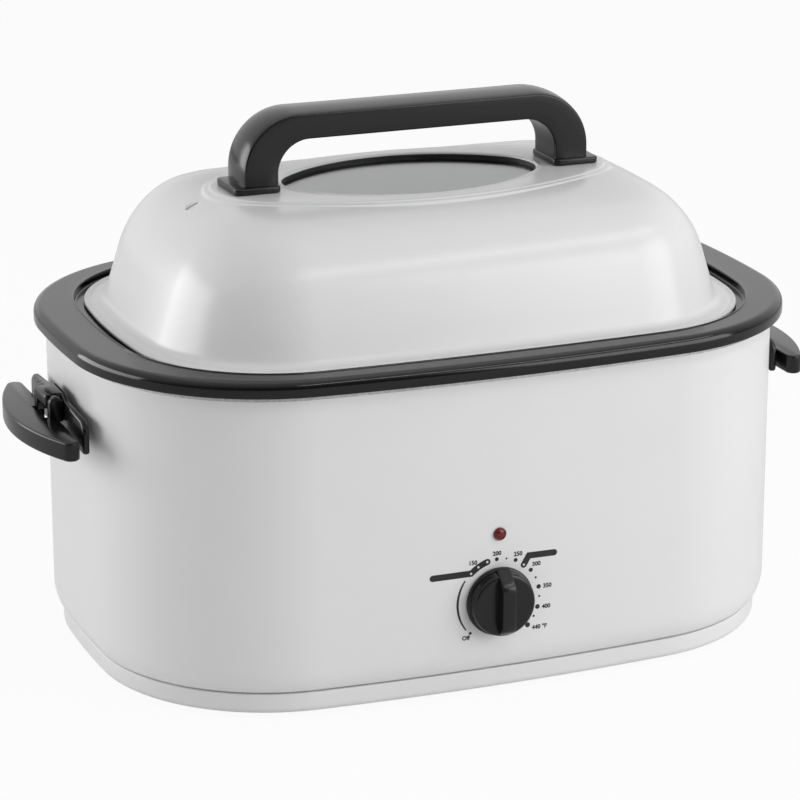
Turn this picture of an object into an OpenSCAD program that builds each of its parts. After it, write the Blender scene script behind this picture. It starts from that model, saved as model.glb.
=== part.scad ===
// Electric roaster oven: a heated casing, a lift-out enamelled pan and a lift-off domed lid.
// Millimetres, +Z up. The origin is at the middle of the footprint, on the surface the feet stand on.
// +X runs along the long side and the control knob is on the -Y side.

/* [Pan rim, seen from above] */
// Half the length of the pan rim
rim_a = 270; // [255:1:285]
// Half the width of the pan rim
rim_b = 187; // [178:1:196]
// Bow of the rim's ends: the tangent of half the turn from the middle of an end to its corner
rim_end_bow = 0.025; // [0.02, 0.025, 0.04, 0.05]
// Bow of the rim's long sides
rim_side_bow = 0.04; // [0.02, 0.025, 0.04, 0.05]
// Radius of the rim's corners
rim_corner_r = 144; // [125:1:155]
// Height of the rim's flat top above the table
rim_z = 250; // [240:1:262]
// Height of the rim's outer band
rim_band_h = 11.7; // [9:0.1:14]
// Radius of the band's rolled top edge
rim_roll_r = 6; // [4:0.5:8]

/* [Lid recess in the pan rim] */
// Width of the rim's flat land at the ends
land_end = 31; // [29:0.5:36]
// Width of the rim's flat land along the sides
land_side = 21.5; // [20:0.5:24]
// Bow of the recess's ends
recess_end_bow = 0.05; // [0.04, 0.05, 0.0625]
// Bow of the recess's long sides
recess_side_bow = 0.025; // [0.02, 0.025, 0.04]
// Radius of the recess's corners
recess_corner_r = 114; // [106:1:120]
// Depth of the ledge below the rim
recess_depth = 4.8; // [3.5:0.1:6]
// Height of the small bead round the recess
recess_bead_h = 0.8; // [0.4:0.1:1.2]

/* [Roasting pan] */
// Thickness of the enamelled steel
pan_t = 0.9; // [0.7:0.1:1.5]
// Height of the pan's outer floor above the table
pan_floor_z = 62; // [56:1:72]
// Radius between the pan's wall and its floor
pan_floor_r = 24; // [16:1:30]
// Set-in of the pan's wall from the recess, at the top
pan_set_in = 16; // [15:0.5:19]
// Taper of the pan's wall, as a further set-in at the floor
pan_taper = 7; // [3:0.5:10]

/* [Casing] */
// Set-in of the casing's wall from the rim
wall_in = 8.5; // [7.5:0.1:10]
// Thickness of the casing's sheet
wall_t = 0.8; // [0.6:0.1:1.2]
// Set-in of the casing at the seam with the base
seam_in = 14; // [12.5:0.1:16]
// Height of the curl above the seam
curl_h = 17; // [12:0.5:24]
// Height of the seam above the table
seam_z = 20.6; // [17:0.1:24]
// Width of the shell's flange, turned in at the seam
seam_flange = 12; // [8:0.5:14]
// Gap left in the seam
seam_gap = 0.4; // [0.2:0.1:0.8]
// Radius of the base pan's lower edge
base_r = 5; // [3:0.5:8]
// Height of the feet that shows below the base
foot_h = 4; // [3:0.5:8]
// Diameter of a foot
foot_d = 26; // [18:1:32]
// Distance of the feet from the middle, along the length
foot_x = 165; // [120:1:185]
// Distance of the feet from the middle, across the width
foot_y = 108; // [80:1:125]

/* [Cooking well] */
// Thickness of the well's sheet
well_t = 0.8; // [0.6:0.1:1.2]
// Set-in of the well's wall from the recess
well_in = 8; // [6.5:0.5:9]
// Height of the well's floor above the table
well_floor_z = 46; // [42:1:52]
// Radius between the well's wall and its floor
well_floor_r = 20; // [12:1:26]
// Set-in of the well's flange from the rim
flange_in = 7; // [6:0.1:8]
// Depth of the flange's turned-down edge
flange_drop = 3.5; // [2.5:0.1:5]
// Width of the heating band
band_w = 30; // [20:1:45]
// Thickness of the heating band
band_t = 1.6; // [1:0.1:2.5]
// Height of the heating band's lower edge
band_z = 66; // [60:1:90]
// Height of the blanket's lower edge above the well's floor
blanket_rise = 24; // [18:1:40]
// Half the width left free in the blanket for the thermostat
blanket_cut = 26; // [24:1:34]

/* [Lid] */
// Gap between the lid's edge and the recess at the ends
lid_gap_end = 7.5; // [6:0.5:10]
// Gap between the lid's edge and the recess along the sides
lid_gap_side = 2.3; // [1.5:0.1:4]
// Thickness of the lid's enamelled steel
lid_t = 0.9; // [0.7:0.1:1.5]
// Radius of the bead round the lid's edge
lid_bead_r = 1.5; // [1.2:0.1:2]
// Width of the lid's flat flange, bead to wall
lid_flange_w = 15; // [12:0.5:18]
// Lean of the dome's wall from upright
lid_draft = 14.5; // [10:0.5:20]
// Height at which the shoulder begins
shoulder_z = 292; // [280:1:300]
// Radius of the shoulder
shoulder_r = 58; // [50:1:62]
// Slope at which the shoulder meets the crown
crown_slope = 20; // [16:1:24]
// Radius of the crown's edge
crown_r = 110; // [95:1:115]
// Rise of the embossed oval
emboss_h = 1.5; // [1:0.1:2.5]
// Set-in of the embossed oval from the lid's edge, across the width
emboss_in = 87.2; // [85:0.2:90]
// Distance of the centres of the embossed oval's ends from the middle
emboss_span = 100; // [90:1:108]
// Distance of the lid's vent slots from the middle
vent_x = 166; // [160:1:172]

/* [Lid window] */
// Set-in of the window from the edge of the embossed oval, across the width
window_in = 16; // [15:0.5:22]
// Distance of the centres of the window's ends from the middle
window_span = 60; // [50:1:62]
// Thickness of the glass
glass_t = 4; // [3:0.5:5]
// Depth of the glass below the lid
glass_drop = 4; // [3:0.5:6]
// Width of the gasket round the glass
gasket_w = 7; // [6:0.5:8]

/* [Lid handle] */
// Half the length of the handle
grip_a = 134.5; // [130:0.5:137]
// Height of the handle's top above its seat
grip_h = 58.5; // [50:0.5:64]
// Depth of the handle, front to back
grip_d = 38; // [32:0.5:42]
// Rise of the handle's bulging outer face over its depth
grip_bulge = 3.5; // [2:0.5:5]
// Thickness of the handle's bar
bar_t = 21; // [17:0.5:24]
// Thickness of the handle's legs
leg_t = 27; // [22:0.5:30]
// Outer radius of the handle's bends
bend_out_r = 43; // [34:0.5:48]
// Inner radius of the handle's bends
bend_in_r = 24; // [16:0.5:28]
// Rounding of the handle's long edges
grip_edge_r = 4; // [3:0.5:5]
// Reach of a handle foot beyond the leg, outward
collar_out = 9; // [6:0.5:10]
// Reach of a handle foot beyond the leg, inward
collar_inn = 3; // [2:0.5:5]
// Reach of a handle foot beyond the leg, to the front and the back
collar_side = 5; // [4:0.5:7]
// Height of a handle foot
collar_h = 5; // [4:0.5:7]

/* [Side handles] */
// Depth of a side handle, from its straight edge to its tip
side_depth = 29; // [25:0.5:34]
// Half the length of a side handle
side_half = 78; // [66:1:84]
// Height of the side handle's top
side_z = 192; // [180:1:200]
// Thickness of the side handle
side_t = 14; // [11:0.5:17]
// Distance of a side handle's straight edge from the casing's wall
side_standoff = 13.5; // [13:0.5:17]
// Rounding of the side handle's tips
side_tip_r = 6; // [4:0.5:8]
// Thickness of the bracket's plate
bracket_t = 5; // [4:0.5:6]
// Height of the bracket's block above the side handle's top
block_rise = 16; // [13:0.5:18]
// Half the length of the bracket's plate
bracket_half = 66; // [56:1:74]
// Width of the bracket's block
block_w = 26; // [22:0.5:30]
// Depth of the notch in the side handle
notch_d = 8.5; // [6:0.5:10]
// Diameter of the pin through a handle's ears
pin_d = 4; // [3:0.2:5]

/* [Controls] */
// Place of the knob along the front
knob_x = -4; // [-30:1:30]
// Height of the knob's axis
knob_z = 72.6; // [68:0.1:80]
// Radius of the knob's back edge
knob_back_r = 25; // [23:0.5:26]
// Radius of the knob's front disc
knob_front_r = 23; // [20:0.5:24]
// Depth of the knob's round body
knob_depth = 11; // [9:0.5:14]
// Height of the knob's grip bar above its disc
knob_bar_h = 8.5; // [6:0.5:11]
// Width of the knob's grip bar
knob_bar_w = 10; // [7:0.5:12]
// Diameter of the thermostat's shaft
shaft_d = 6; // [5:0.5:8]
// Height of the pilot lamp above the knob
lamp_rise = 49.6; // [42:0.1:60]
// Diameter of the pilot lens
lamp_d = 9.4; // [8:0.2:12]
// Distance of the thermostat's screws from its shaft
thermo_screw = 13; // [11:0.5:14]
// Half the width of the thermostat's bracket
thermo_half = 20; // [19:0.5:24]

/* [Rear of the casing] */
// Place of the cord gland along the back
gland_x = 110; // [80:1:130]
// Height of the gland's axis
gland_z = 52; // [46:1:60]
// Radius of the gland's neck
gland_r = 7; // [5:0.5:8]
// Place of the terminal block along the length
terminal_x = 60; // [40:1:80]

/* [Rack] */
// Diameter of the rack's rim wire
rack_rim_d = 5; // [4:0.5:6]
// Diameter of the rack's cross wires
rack_wire_d = 3; // [2.5:0.5:4]
// Number of cross wires
rack_wires = 11; // [7:1:15]

/* [Hidden] */
$fn = 96;

// Clearances
seat_gap = 0.3;      // between pieces that lift apart
rest_gap = 0.2;      // between pieces that rest on each other for good
hole_gap = 0.3;      // radial, round a screw
shaft_gap = 0.05;    // radial, round the shaft where it runs
glass_fit = 0.05;    // round the glass in its gasket
eps = 0.01;
long_fn = 480;       // facets of the long, slack arcs

// Colours
satin_white = [0.87, 0.87, 0.88];
enamel_white = [0.90, 0.90, 0.91];
enamel_black = [0.13, 0.13, 0.14];
moulded_black = [0.20, 0.20, 0.21];
bare_steel = [0.72, 0.72, 0.73];

// An outline is a list of tangent arcs, each [centre, radius, start angle, swept angle, direction of its start].
// Corner centres lie on hundredths of a millimetre and the rest follows from them by short decimals, so that
// neighbouring arcs meet exactly.
function fine_point(p) = [for (v = p) round(v * 100) / 100];
function flip_x(p) = [-p[0], p[1]];
function flip_y(p) = [p[0], -p[1]];

// Rounded oblong with slightly bowed ends and sides
function oblong(a, b, corner_r, end_bow, side_bow) =
    let (room = [a - corner_r, b - corner_r],
         c = fine_point((room - [end_bow * room[1], side_bow * room[0]]) / (1 - end_bow * side_bow)),
         e = (1 + end_bow * end_bow) / (2 * end_bow), f = (1 + side_bow * side_bow) / (2 * side_bow),
         r1 = corner_r + c[1] * e, c1 = [c[0] - c[1] * (e - end_bow), 0],
         r2 = corner_r + c[0] * f, c2 = [0, c[1] - c[0] * (f - side_bow)],
         d1 = [1 - end_bow * end_bow, 2 * end_bow], d2 = [2 * side_bow, 1 - side_bow * side_bow],
         al = 2 * atan(end_bow), be = 90 - 2 * atan(side_bow))
    [[c1, r1, -al, 2 * al, flip_y(d1)], [c, corner_r, al, be - al, d1],
     [c2, r2, be, 180 - 2 * be, d2], [flip_x(c), corner_r, 180 - be, be - al, flip_x(d2)],
     [-c1, r1, 180 - al, 2 * al, flip_x(d1)], [-c, corner_r, 180 + al, be - al, -d1],
     [-c2, r2, 180 + be, 180 - 2 * be, -d2], [flip_y(c), corner_r, 360 - be, be - al, flip_y(d2)]];

// Four-arc oval, span being the place of its end centres and u the tangent of half the turn from the middle of a
// side to its end
function oval(b, span, u) =
    let (h = [span, 0], end_r = b - span * u, r = end_r + span * (1 + u * u) / (2 * u), c = [0, b - r],
         d = [2 * u, 1 - u * u], al = 90 - 2 * atan(u))
    [[h, end_r, -al, 2 * al, flip_y(d)], [c, r, al, 180 - 2 * al, d],
     [-h, end_r, 180 - al, 2 * al, flip_x(d)], [-c, r, 180 + al, 180 - 2 * al, -d]];

function on_arc(arc, off, angle) = arc[0] + (arc[1] + off) * [cos(angle), sin(angle)];

recess_a = rim_a - land_end;
recess_b = rim_b - land_side;
lid_b = recess_b - lid_gap_side;
emboss_b = lid_b - emboss_in;
RIM = oblong(rim_a, rim_b, rim_corner_r, rim_end_bow, rim_side_bow);
RECESS = oblong(recess_a, recess_b, recess_corner_r, recess_end_bow, recess_side_bow);
LID = oblong(recess_a - lid_gap_end, lid_b, recess_corner_r - 4, recess_end_bow, recess_side_bow);
EMBOSS = oval(emboss_b, emboss_span, 0.25);
WINDOW = oval(emboss_b - window_in, window_span, 0.4);

// Joint k is where arc k begins; its line starts at the centre of the tighter of the two arcs that meet there
function joint(outline, k) =
    let (n = len(outline), arc = outline[k % n], last = outline[(k + n - 1) % n])
    [arc[1] < last[1] ? arc[0] : last[0], arc[4]];
function joint_end(j) = j[0] + 400 * j[1];
function is_tight(outline, k) = outline[k][1] < outline[(k + 1) % len(outline)][1];

// Moves by whole millimetres and then by the rest
module moved(p) {
    whole = [for (v = p) floor(v)];
    translate(whole) translate(p - whole) children();
}

// Turns its profile about arc k of an outline and trims it at the joints, so that neighbours meet face to face
module sector(outline, k) {
    arc = outline[k];
    j = joint(outline, k);
    i = joint(outline, k + 1);
    middle = arc[0] + (arc[1] + 600) * [cos(arc[2] + arc[3] / 2), sin(arc[2] + arc[3] / 2)];
    intersection() {
        moved(arc[0])
            rotate_extrude(angle = arc[3] + 2, start = arc[2] - 1, $fn = is_tight(outline, k) ? $fn : long_fn)
                moved([arc[1], 0]) children();
        translate([0, 0, -10]) linear_extrude(450)
            polygon(concat([j[0], joint_end(j), middle, joint_end(i)], is_tight(outline, k) ? [] : [i[0]]));
    }
}

// A profile carried round an outline: x is out from the outline, y is height
module carried(outline) {
    for (k = [0 : len(outline) - 1]) sector(outline, k) children();
}

// Flat plate of thickness t with an outline grown by off
module plate(outline, off, t) {
    for (k = [0 : len(outline) - 1]) {
        arc = outline[k];
        middle = [cos(arc[2] + arc[3] / 2), sin(arc[2] + arc[3] / 2)];
        depth = is_tight(outline, k) ? arc[1] : ceil(arc[1] - (joint(outline, k)[0] - arc[0]) * middle) + 1;
        sector(outline, k) translate([-depth, 0]) square([depth + off, t]);
    }
    hubs = [for (k = [0 : len(outline) - 1]) if (is_tight(outline, k)) outline[k][0]];
    if (len(hubs) > 2) linear_extrude(t) polygon(hubs);
}

// Points of an arc in a profile
function bend(c, r, a0, a1, n = 6) =
    [for (i = [0 : n]) c + r * [cos(a0 + (a1 - a0) * i / n), sin(a0 + (a1 - a0) * i / n)]];

// Heights and places that follow from the sizes above
ledge_z = rim_z - recess_depth;
flange_z = rim_z - rim_band_h - seat_gap;
shell_top = flange_z - well_t - rest_gap;
knob_plane = rim_b - wall_in;
knob_gap = 0.6;
knob_reach = knob_plane + knob_gap + knob_depth + knob_bar_h;
plan_shift = (knob_reach - rim_b) / 2;
wall_end = rim_a - wall_in;
inner_end = wall_end - wall_t;
rise_shoulder = shoulder_r * (cos(crown_slope) - cos(90 - lid_draft));
run_shoulder = shoulder_r * (sin(90 - lid_draft) - sin(crown_slope));
lid_seat_z = ledge_z + seat_gap;
lid_flange_z = lid_seat_z + 2 * lid_bead_r - 0.9;
wall_foot = lid_flange_w + (shoulder_z - lid_flange_z) * tan(lid_draft);
crown_z = shoulder_z + rise_shoulder + crown_r * (1 - cos(crown_slope));
crown_in = wall_foot + run_shoulder + crown_r * sin(crown_slope);
lid_top = crown_z + emboss_h;
grip_top = lid_top + grip_h;
foot_centre = grip_a - leg_t / 2;
base_in = seam_in + 0.8;
side_edge = wall_end + side_standoff;
side_reach = side_edge + side_depth;
side_bottom = side_z - side_t;
block_top = side_z + block_rise;
block_bottom = side_z + 5;
block_out = side_edge + notch_d - 1.5;
bracket_face = side_edge - 4.5;
pin_z = (block_top + block_bottom) / 2;
ear_w = 7;
ear_r = 5;
pin_x = bracket_face + 0.4 + ear_r;
screw_d = 4;
screw_y = 22;
bracket_screw_z = side_z - 2;
rack_z = pan_floor_z + pan_t + 12;
thermo_body = thermo_screw + 3;
blade_x = 8;
blade_y = -knob_plane + wall_t + 7;
blade_z = knob_z - thermo_body - 6;

// Everything is drawn about the middle of the rim, then shifted so that the knob is inside the box
module placed() translate([0, plan_shift, 0]) children();

module along_y(p, r, h) translate(p) rotate([-90, 0, 0]) cylinder(r = r, h = h, $fn = 48);
module along_x(p, r, h) translate(p) rotate([0, 90, 0]) cylinder(r = r, h = h, $fn = 48);

// Puts a child on the casing's long wall at x, its own +Y pointing straight out of the wall
module on_back(x) {
    r = RIM[2][1] - wall_in;
    translate(RIM[2][0]) rotate([0, 0, -asin(x / r)]) translate([0, r, 0]) children();
}

// Sheet vessel: wall with a rounded foot, carried round an outline, closed by a flat floor
module vessel(outline, in_top, in_floor, z_top, z_floor, r, t) {
    lean = atan2(in_floor - in_top, z_top - z_floor);
    hub = [-in_floor - r, z_floor + r];
    floor_in = in_floor + r + 6;
    carried(outline) polygon(concat(
        [[-in_top, z_top]], bend(hub, r, lean, -90), [[-floor_in, z_floor], [-floor_in, z_floor + t]],
        bend(hub, r - t, -90, lean), [[-in_top - t, z_top]]));
    translate([0, 0, z_floor]) plate(outline, -floor_in + 3, t);
}

// ---- Casing ----
module outer_shell() color(satin_white) placed() difference() {
    curl_r = (pow(seam_in - wall_in, 2) + curl_h * curl_h) / (2 * (seam_in - wall_in));
    turn = asin(curl_h / curl_r);
    hub = [-wall_in - curl_r, seam_z + curl_h];
    carried(RIM) polygon(concat(
        [[-wall_in, shell_top]], bend(hub, curl_r, 0, -turn, 5),
        [[-seam_in - seam_flange, seam_z], [-seam_in - seam_flange, seam_z + wall_t],
         [-seam_in - wall_t, seam_z + wall_t]],
        bend(hub, curl_r - wall_t, -turn + 1.5, 0, 5), [[-wall_in - wall_t, shell_top]]));
    along_y([knob_x, -knob_plane - 5, knob_z], shaft_d / 2 + 1, 10);
    along_y([knob_x, -knob_plane - 5, knob_z + lamp_rise], lamp_d / 2 - 1.2 + hole_gap, 10);
    for (z = [-1, 1]) along_y([knob_x, -knob_plane - 5, knob_z + z * thermo_screw], 1.5 + hole_gap, 10);
    for (side = [-1, 1], y = [-1, 1])
        along_x([side * wall_end - 5, y * screw_y, bracket_screw_z], screw_d / 2 + hole_gap, 10);
    on_back(gland_x) along_y([0, -5, gland_z], gland_r + hole_gap, 10);
}

module base_pan() color(satin_white) placed() difference() {
    vessel(RIM, base_in, base_in, seam_z - seam_gap, foot_h, base_r, wall_t);
    for (x = [-1, 1], y = [-1, 1]) translate([x * foot_x, y * foot_y, foot_h - 1]) cylinder(r = 2.3, h = 4);
    translate([0, 0, foot_h - 1]) cylinder(r = 3.3, h = 4);
}

module rubber_feet() color(moulded_black) placed()
    for (x = [-1, 1], y = [-1, 1]) translate([x * foot_x, y * foot_y, 0]) difference() {
        rotate_extrude()
            polygon([[0, 0], [foot_d / 2 - 1.5, 0], [foot_d / 2, 1.5], [foot_d / 2 - 1, foot_h], [0, foot_h]]);
        translate([0, 0, -eps]) cylinder(r = 4.5, h = 2.2);
        translate([0, 0, -eps]) cylinder(r = 2.3, h = foot_h + 1);
    }

module foot_screws() color(bare_steel) placed()
    for (x = [-1, 1], y = [-1, 1]) translate([x * foot_x, y * foot_y, 0]) {
        translate([0, 0, 0.6]) cylinder(r = 4, h = 1.5);
        translate([0, 0, 2]) cylinder(r = 2, h = 8);
        translate([0, 0, foot_h + wall_t + 0.1]) cylinder(r = 4.2, h = 3, $fn = 6);
    }

// ---- Cooking well, its heater and what hangs on it ----
module cooking_well() color(bare_steel) placed() difference() {
    union() {
        vessel(RECESS, well_in, well_in, flange_z, well_floor_z, well_floor_r, well_t);
        translate([0, 0, flange_z - well_t]) difference() {
            plate(RIM, -flange_in - well_t / 2, well_t);
            translate([0, 0, -1]) plate(RECESS, -well_in - well_t / 2, well_t + 2);
        }
        carried(RIM) translate([-flange_in - well_t, flange_z - flange_drop]) square([well_t, flange_drop]);
    }
    for (y = [-1, 1]) translate([0, y * 30, well_floor_z - 1]) cylinder(r = 2.3, h = 4);
}

module heating_band() color([0.62, 0.56, 0.42]) placed()
    carried(RECESS) translate([-well_in + rest_gap, band_z]) square([band_t, band_w]);

module insulation_blanket() color([0.86, 0.80, 0.62]) placed() difference() {
    low = well_floor_z + blanket_rise;
    translate([0, 0, low]) difference() {
        plate(RIM, -wall_in - wall_t - 0.5, flange_z - flange_drop - 4 - low);
        translate([0, 0, -1]) plate(RECESS, -well_in + band_t + 2 * rest_gap, flange_z - low);
    }
    translate([knob_x - blanket_cut, -rim_b, 0]) cube([2 * blanket_cut, rim_b / 2, knob_z + blanket_cut]);
    along_y([knob_x, -rim_b, knob_z + lamp_rise], 11, rim_b / 2);
    for (side = [-1, 1], y = [-1, 1])
        along_x([side > 0 ? inner_end - 8 : -inner_end - 1, y * screw_y, bracket_screw_z], 6, 9);
}

// Strap under the well and the bolt that pulls the base up to it
module tie_strap() color(bare_steel) placed() difference() {
    rotate([90, 0, 90]) translate([0, 0, -12]) linear_extrude(24) polygon([
        [-42, well_floor_z - rest_gap], [-16, well_floor_z - rest_gap], [-14, 26], [14, 26],
        [16, well_floor_z - rest_gap], [42, well_floor_z - rest_gap], [42, well_floor_z - 1.8],
        [18, well_floor_z - 1.8], [15.8, 24.4], [-15.8, 24.4], [-18, well_floor_z - 1.8],
        [-42, well_floor_z - 1.8]]);
    translate([0, 0, 20]) cylinder(r = 3.3, h = 10);
    for (y = [-1, 1]) translate([0, y * 30, well_floor_z - 6]) cylinder(r = 2.3, h = 8);
}

module tie_bolt() color(bare_steel) placed() {
    translate([0, 0, 0.8]) cylinder(r = 5.5, h = foot_h - 1);
    translate([0, 0, foot_h - 0.3]) cylinder(r = 3, h = 32);
    translate([0, 0, 26.2]) cylinder(r = 5.8, h = 5, $fn = 6);
    for (y = [-1, 1]) translate([0, y * 30, 0]) {
        translate([0, 0, well_floor_z - 5]) cylinder(r = 2, h = 7.6);
        translate([0, 0, well_floor_z + well_t + 0.1]) cylinder(r = 4, h = 1.6);
        translate([0, 0, well_floor_z - 4.8]) cylinder(r = 4, h = 2.9, $fn = 6);
    }
}

// ---- Thermostat and lamp behind the front wall ----
module thermostat_bracket() color(bare_steel) placed() difference() {
    y0 = -knob_plane + wall_t + rest_gap;
    union() {
        translate([knob_x - thermo_half, y0, knob_z - thermo_screw - 5])
            cube([2 * thermo_half, 1, 2 * thermo_screw + 10]);
        for (side = [-1, 1]) translate([knob_x + side * (thermo_half - 0.5) - 0.5, y0 + 0.5, knob_z - thermo_screw])
            cube([1, 10, 2 * thermo_screw]);
    }
    along_y([knob_x, y0 - 1, knob_z], shaft_d / 2 + 1, 4);
    for (z = [-1, 1]) along_y([knob_x, y0 - 1, knob_z + z * thermo_screw], 1.5 + hole_gap, 4);
}

module thermostat() color([0.82, 0.80, 0.74]) placed() difference() {
    y0 = -knob_plane + wall_t + rest_gap + 1.1;
    union() {
        translate([knob_x - thermo_body, y0 + 1.5, knob_z - thermo_body]) cube([2 * thermo_body, 9, 2 * thermo_body]);
        along_y([knob_x, y0, knob_z], 6.5, 3);
        for (side = [-1, 1]) translate([knob_x + side * blade_x - 2.5, blade_y - 0.4, blade_z])
            cube([5, 0.8, knob_z - thermo_body - blade_z + 1]);
    }
    along_y([knob_x, y0 - 1, knob_z], shaft_d / 2 + shaft_gap, 8);
    for (z = [-1, 1]) along_y([knob_x, y0 - 1, knob_z + z * thermo_screw], 1.5 + shaft_gap, 7);
}

module thermostat_screws() color(bare_steel) placed()
    for (z = [-1, 1]) {
        along_y([knob_x, -knob_plane - 1.6, knob_z + z * thermo_screw], 2.8, 1.6);
        along_y([knob_x, -knob_plane - 0.1, knob_z + z * thermo_screw], 1.5, 7);
    }

module pilot_lens() color([0.45, 0.05, 0.06]) placed() translate([knob_x, -knob_plane, knob_z + lamp_rise])
    rotate([90, 0, 0]) difference() {
        rotate_extrude() polygon(concat(
            [[0, -9], [lamp_d / 2 - 1.2, -9], [lamp_d / 2 - 1.2, 0.1], [lamp_d / 2, 0.1], [lamp_d / 2, 0.8]],
            [for (i = [1 : 6]) [(lamp_d / 2 - 0.9) * cos(i * 15), 0.8 + 1.5 * sin(i * 15)]]));
        translate([0, 0, -9 - eps]) cylinder(r = lamp_d / 2 - 2.2, h = 7);
    }

module pilot_lamp() color([0.85, 0.75, 0.60]) placed()
    translate([knob_x, -knob_plane + 2.4, knob_z + lamp_rise]) rotate([-90, 0, 0]) {
        cylinder(r = lamp_d / 2 - 2.4, h = 8);
        translate([0, 0, 6.8]) cylinder(r = lamp_d / 2 + 2, h = 3.4);
    }

// ---- Terminals, inner leads and the gland where the cord goes in ----
module terminal_block() color([0.90, 0.88, 0.80]) placed() difference() {
    translate([terminal_x - 17, 128 - 8, foot_h + wall_t + 0.1]) cube([34, 16, 14]);
    for (i = [-1 : 1]) translate([terminal_x + i * 10, 128, foot_h + 8]) cylinder(r = 2.5, h = 20);
    for (i = [-1 : 1]) along_y([terminal_x + i * 10, 119, foot_h + 8], 1.6, 20);
}

// Straight wire from one point to the next, with a rounded end
module wire(p, q) {
    d = q - p;
    translate(p) rotate([0, acos(d[2] / norm(d)), atan2(d[1], d[0])]) cylinder(r = 1.5, h = norm(d), $fn = 32);
    translate(q) sphere(1.5, $fn = 32);
}

// Along the base, up behind the shell's flange, forward over it and up to the thermostat's blades
module lead_wires() color([0.55, 0.12, 0.10]) placed() for (i = [-1, 1]) {
    x = terminal_x + i * 10;
    low = foot_h + 8;
    high = (seam_z + well_floor_z) / 2;
    y = -rim_b + seam_in + seam_flange + 6 - i * 2.2;
    up = knob_x + i * blade_x;
    path = [[x, 124, low], [x, y, low], [up, y, low], [up, y, high], [up, blade_y, high],
            [up, blade_y, blade_z - 1.8]];
    for (k = [0 : len(path) - 2]) wire(path[k], path[k + 1]);
}

module cord_gland() color(moulded_black) placed() on_back(gland_x) translate([0, 0, gland_z]) rotate([-90, 0, 0])
    difference() {
        union() {
            translate([0, 0, 0.1]) cylinder(r = gland_r + 3, h = 3);
            translate([0, 0, -8]) cylinder(r = gland_r, h = 10);
            translate([0, 0, -8]) cylinder(r = gland_r + 2, h = 6.8);
        }
        translate([0, 0, -9]) cylinder(r = 3.6, h = 14);
    }

// ---- Side handles ----
// Drawn at the +X end. The bracket's plate stands off the wall, with a boss behind its middle.
module bracket_shape() difference() {
    union() {
        translate([bracket_face - bracket_t, 0, 0]) rotate([90, 0, 90]) linear_extrude(bracket_t) polygon([
            [-bracket_half, side_bottom], [bracket_half, side_bottom], [bracket_half, side_z + 4],
            [bracket_half - 6, side_z + 9.5], [block_w / 2 + 10, block_bottom + 7], [block_w / 2 + 4, block_top - 4],
            [block_w / 2, block_top], [-block_w / 2, block_top], [-block_w / 2 - 4, block_top - 4],
            [-block_w / 2 - 10, block_bottom + 7], [-bracket_half + 6, side_z + 9.5], [-bracket_half, side_z + 4]]);
        translate([wall_end - 12, -block_w / 2, side_bottom])
            cube([bracket_face - wall_end + 9, block_w, block_top - side_bottom]);
        translate([wall_end - 12, -block_w / 2 - 16, side_bottom + 2])
            cube([bracket_face - wall_end + 9, block_w + 32, side_t + 4]);
        translate([0, block_w / 2, 0]) rotate([90, 0, 0]) linear_extrude(block_w) polygon(concat(
            [[bracket_face - 1, block_top], [bracket_face - 1, block_bottom]],
            bend([block_out - 4, block_bottom + 4], 4, -90, 0), bend([block_out - 2.5, block_top - 2.5], 2.5, 0, 90)));
    }
    plate(RIM, -wall_in + rest_gap, 400);
    translate([pin_x, 0, block_top - 3]) cylinder(r = 2.2, h = 12, $fn = 32);
    along_y([pin_x, -block_w, pin_z], pin_d / 2 + shaft_gap, 2 * block_w);
    for (y = [-1, 1]) along_x([wall_end - 1, y * screw_y, bracket_screw_z], screw_d / 2 + shaft_gap, 8);
}

module handle_bracket_right() color(moulded_black) placed() bracket_shape();
module handle_bracket_left() color(moulded_black) placed() rotate([0, 0, 180]) bracket_shape();

// D-shaped plate with two ears that clasp the bracket's block
tip_hub = [side_edge + side_tip_r, side_half - side_tip_r];
tip_reach = side_reach - tip_hub[0];
grip_r = (tip_hub[1] * tip_hub[1] + tip_reach * tip_reach - side_tip_r * side_tip_r)
    / (2 * (tip_reach - side_tip_r));
grip_hub = [side_reach - grip_r, 0];
module grip_outline(off) {
    turn = atan2(tip_hub[1], tip_hub[0] - grip_hub[0]);
    far = grip_hub + (grip_r + 9) * [cos(turn), sin(turn)];
    intersection() {
        translate(grip_hub) circle(grip_r + off, $fn = 360);
        polygon([[side_edge - off, -tip_hub[1]], flip_y(tip_hub), flip_y(far), [side_reach + 30, 0], far, tip_hub,
            [side_edge - off, tip_hub[1]]]);
    }
    for (y = [-1, 1]) translate([tip_hub[0], y * tip_hub[1]]) circle(side_tip_r + off);
}

module grip_shape() difference() {
    edge = 1.2;
    union() {
        translate([0, 0, side_bottom + edge]) linear_extrude(side_t - 2 * edge) grip_outline(0);
        translate([0, 0, side_bottom]) linear_extrude(side_t) grip_outline(-edge);
        for (side = [-1, 1]) translate([0, side * (block_w / 2 + rest_gap + ear_w / 2), 0]) {
            rotate([90, 0, 0]) translate([0, 0, -ear_w / 2]) linear_extrude(ear_w) union() {
                translate([pin_x - ear_r, side_z - 3]) square([2 * ear_r, pin_z - side_z + 3]);
                translate([pin_x, pin_z]) circle(ear_r);
            }
        }
    }
    translate([side_edge - 5, -block_w / 2 - 0.5, side_bottom - 1]) cube([notch_d + 5, block_w + 1, side_t + 2]);
    along_y([pin_x, -2 * block_w, pin_z], pin_d / 2 + shaft_gap, 4 * block_w);
}

module side_grip_right() color(moulded_black) placed() grip_shape();
module side_grip_left() color(moulded_black) placed() rotate([0, 0, 180]) grip_shape();

module grip_pins() color(bare_steel) placed() for (turn = [0, 180]) rotate([0, 0, turn])
    along_y([pin_x, -block_w / 2 - ear_w, pin_z], pin_d / 2, block_w + 2 * ear_w);

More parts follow.
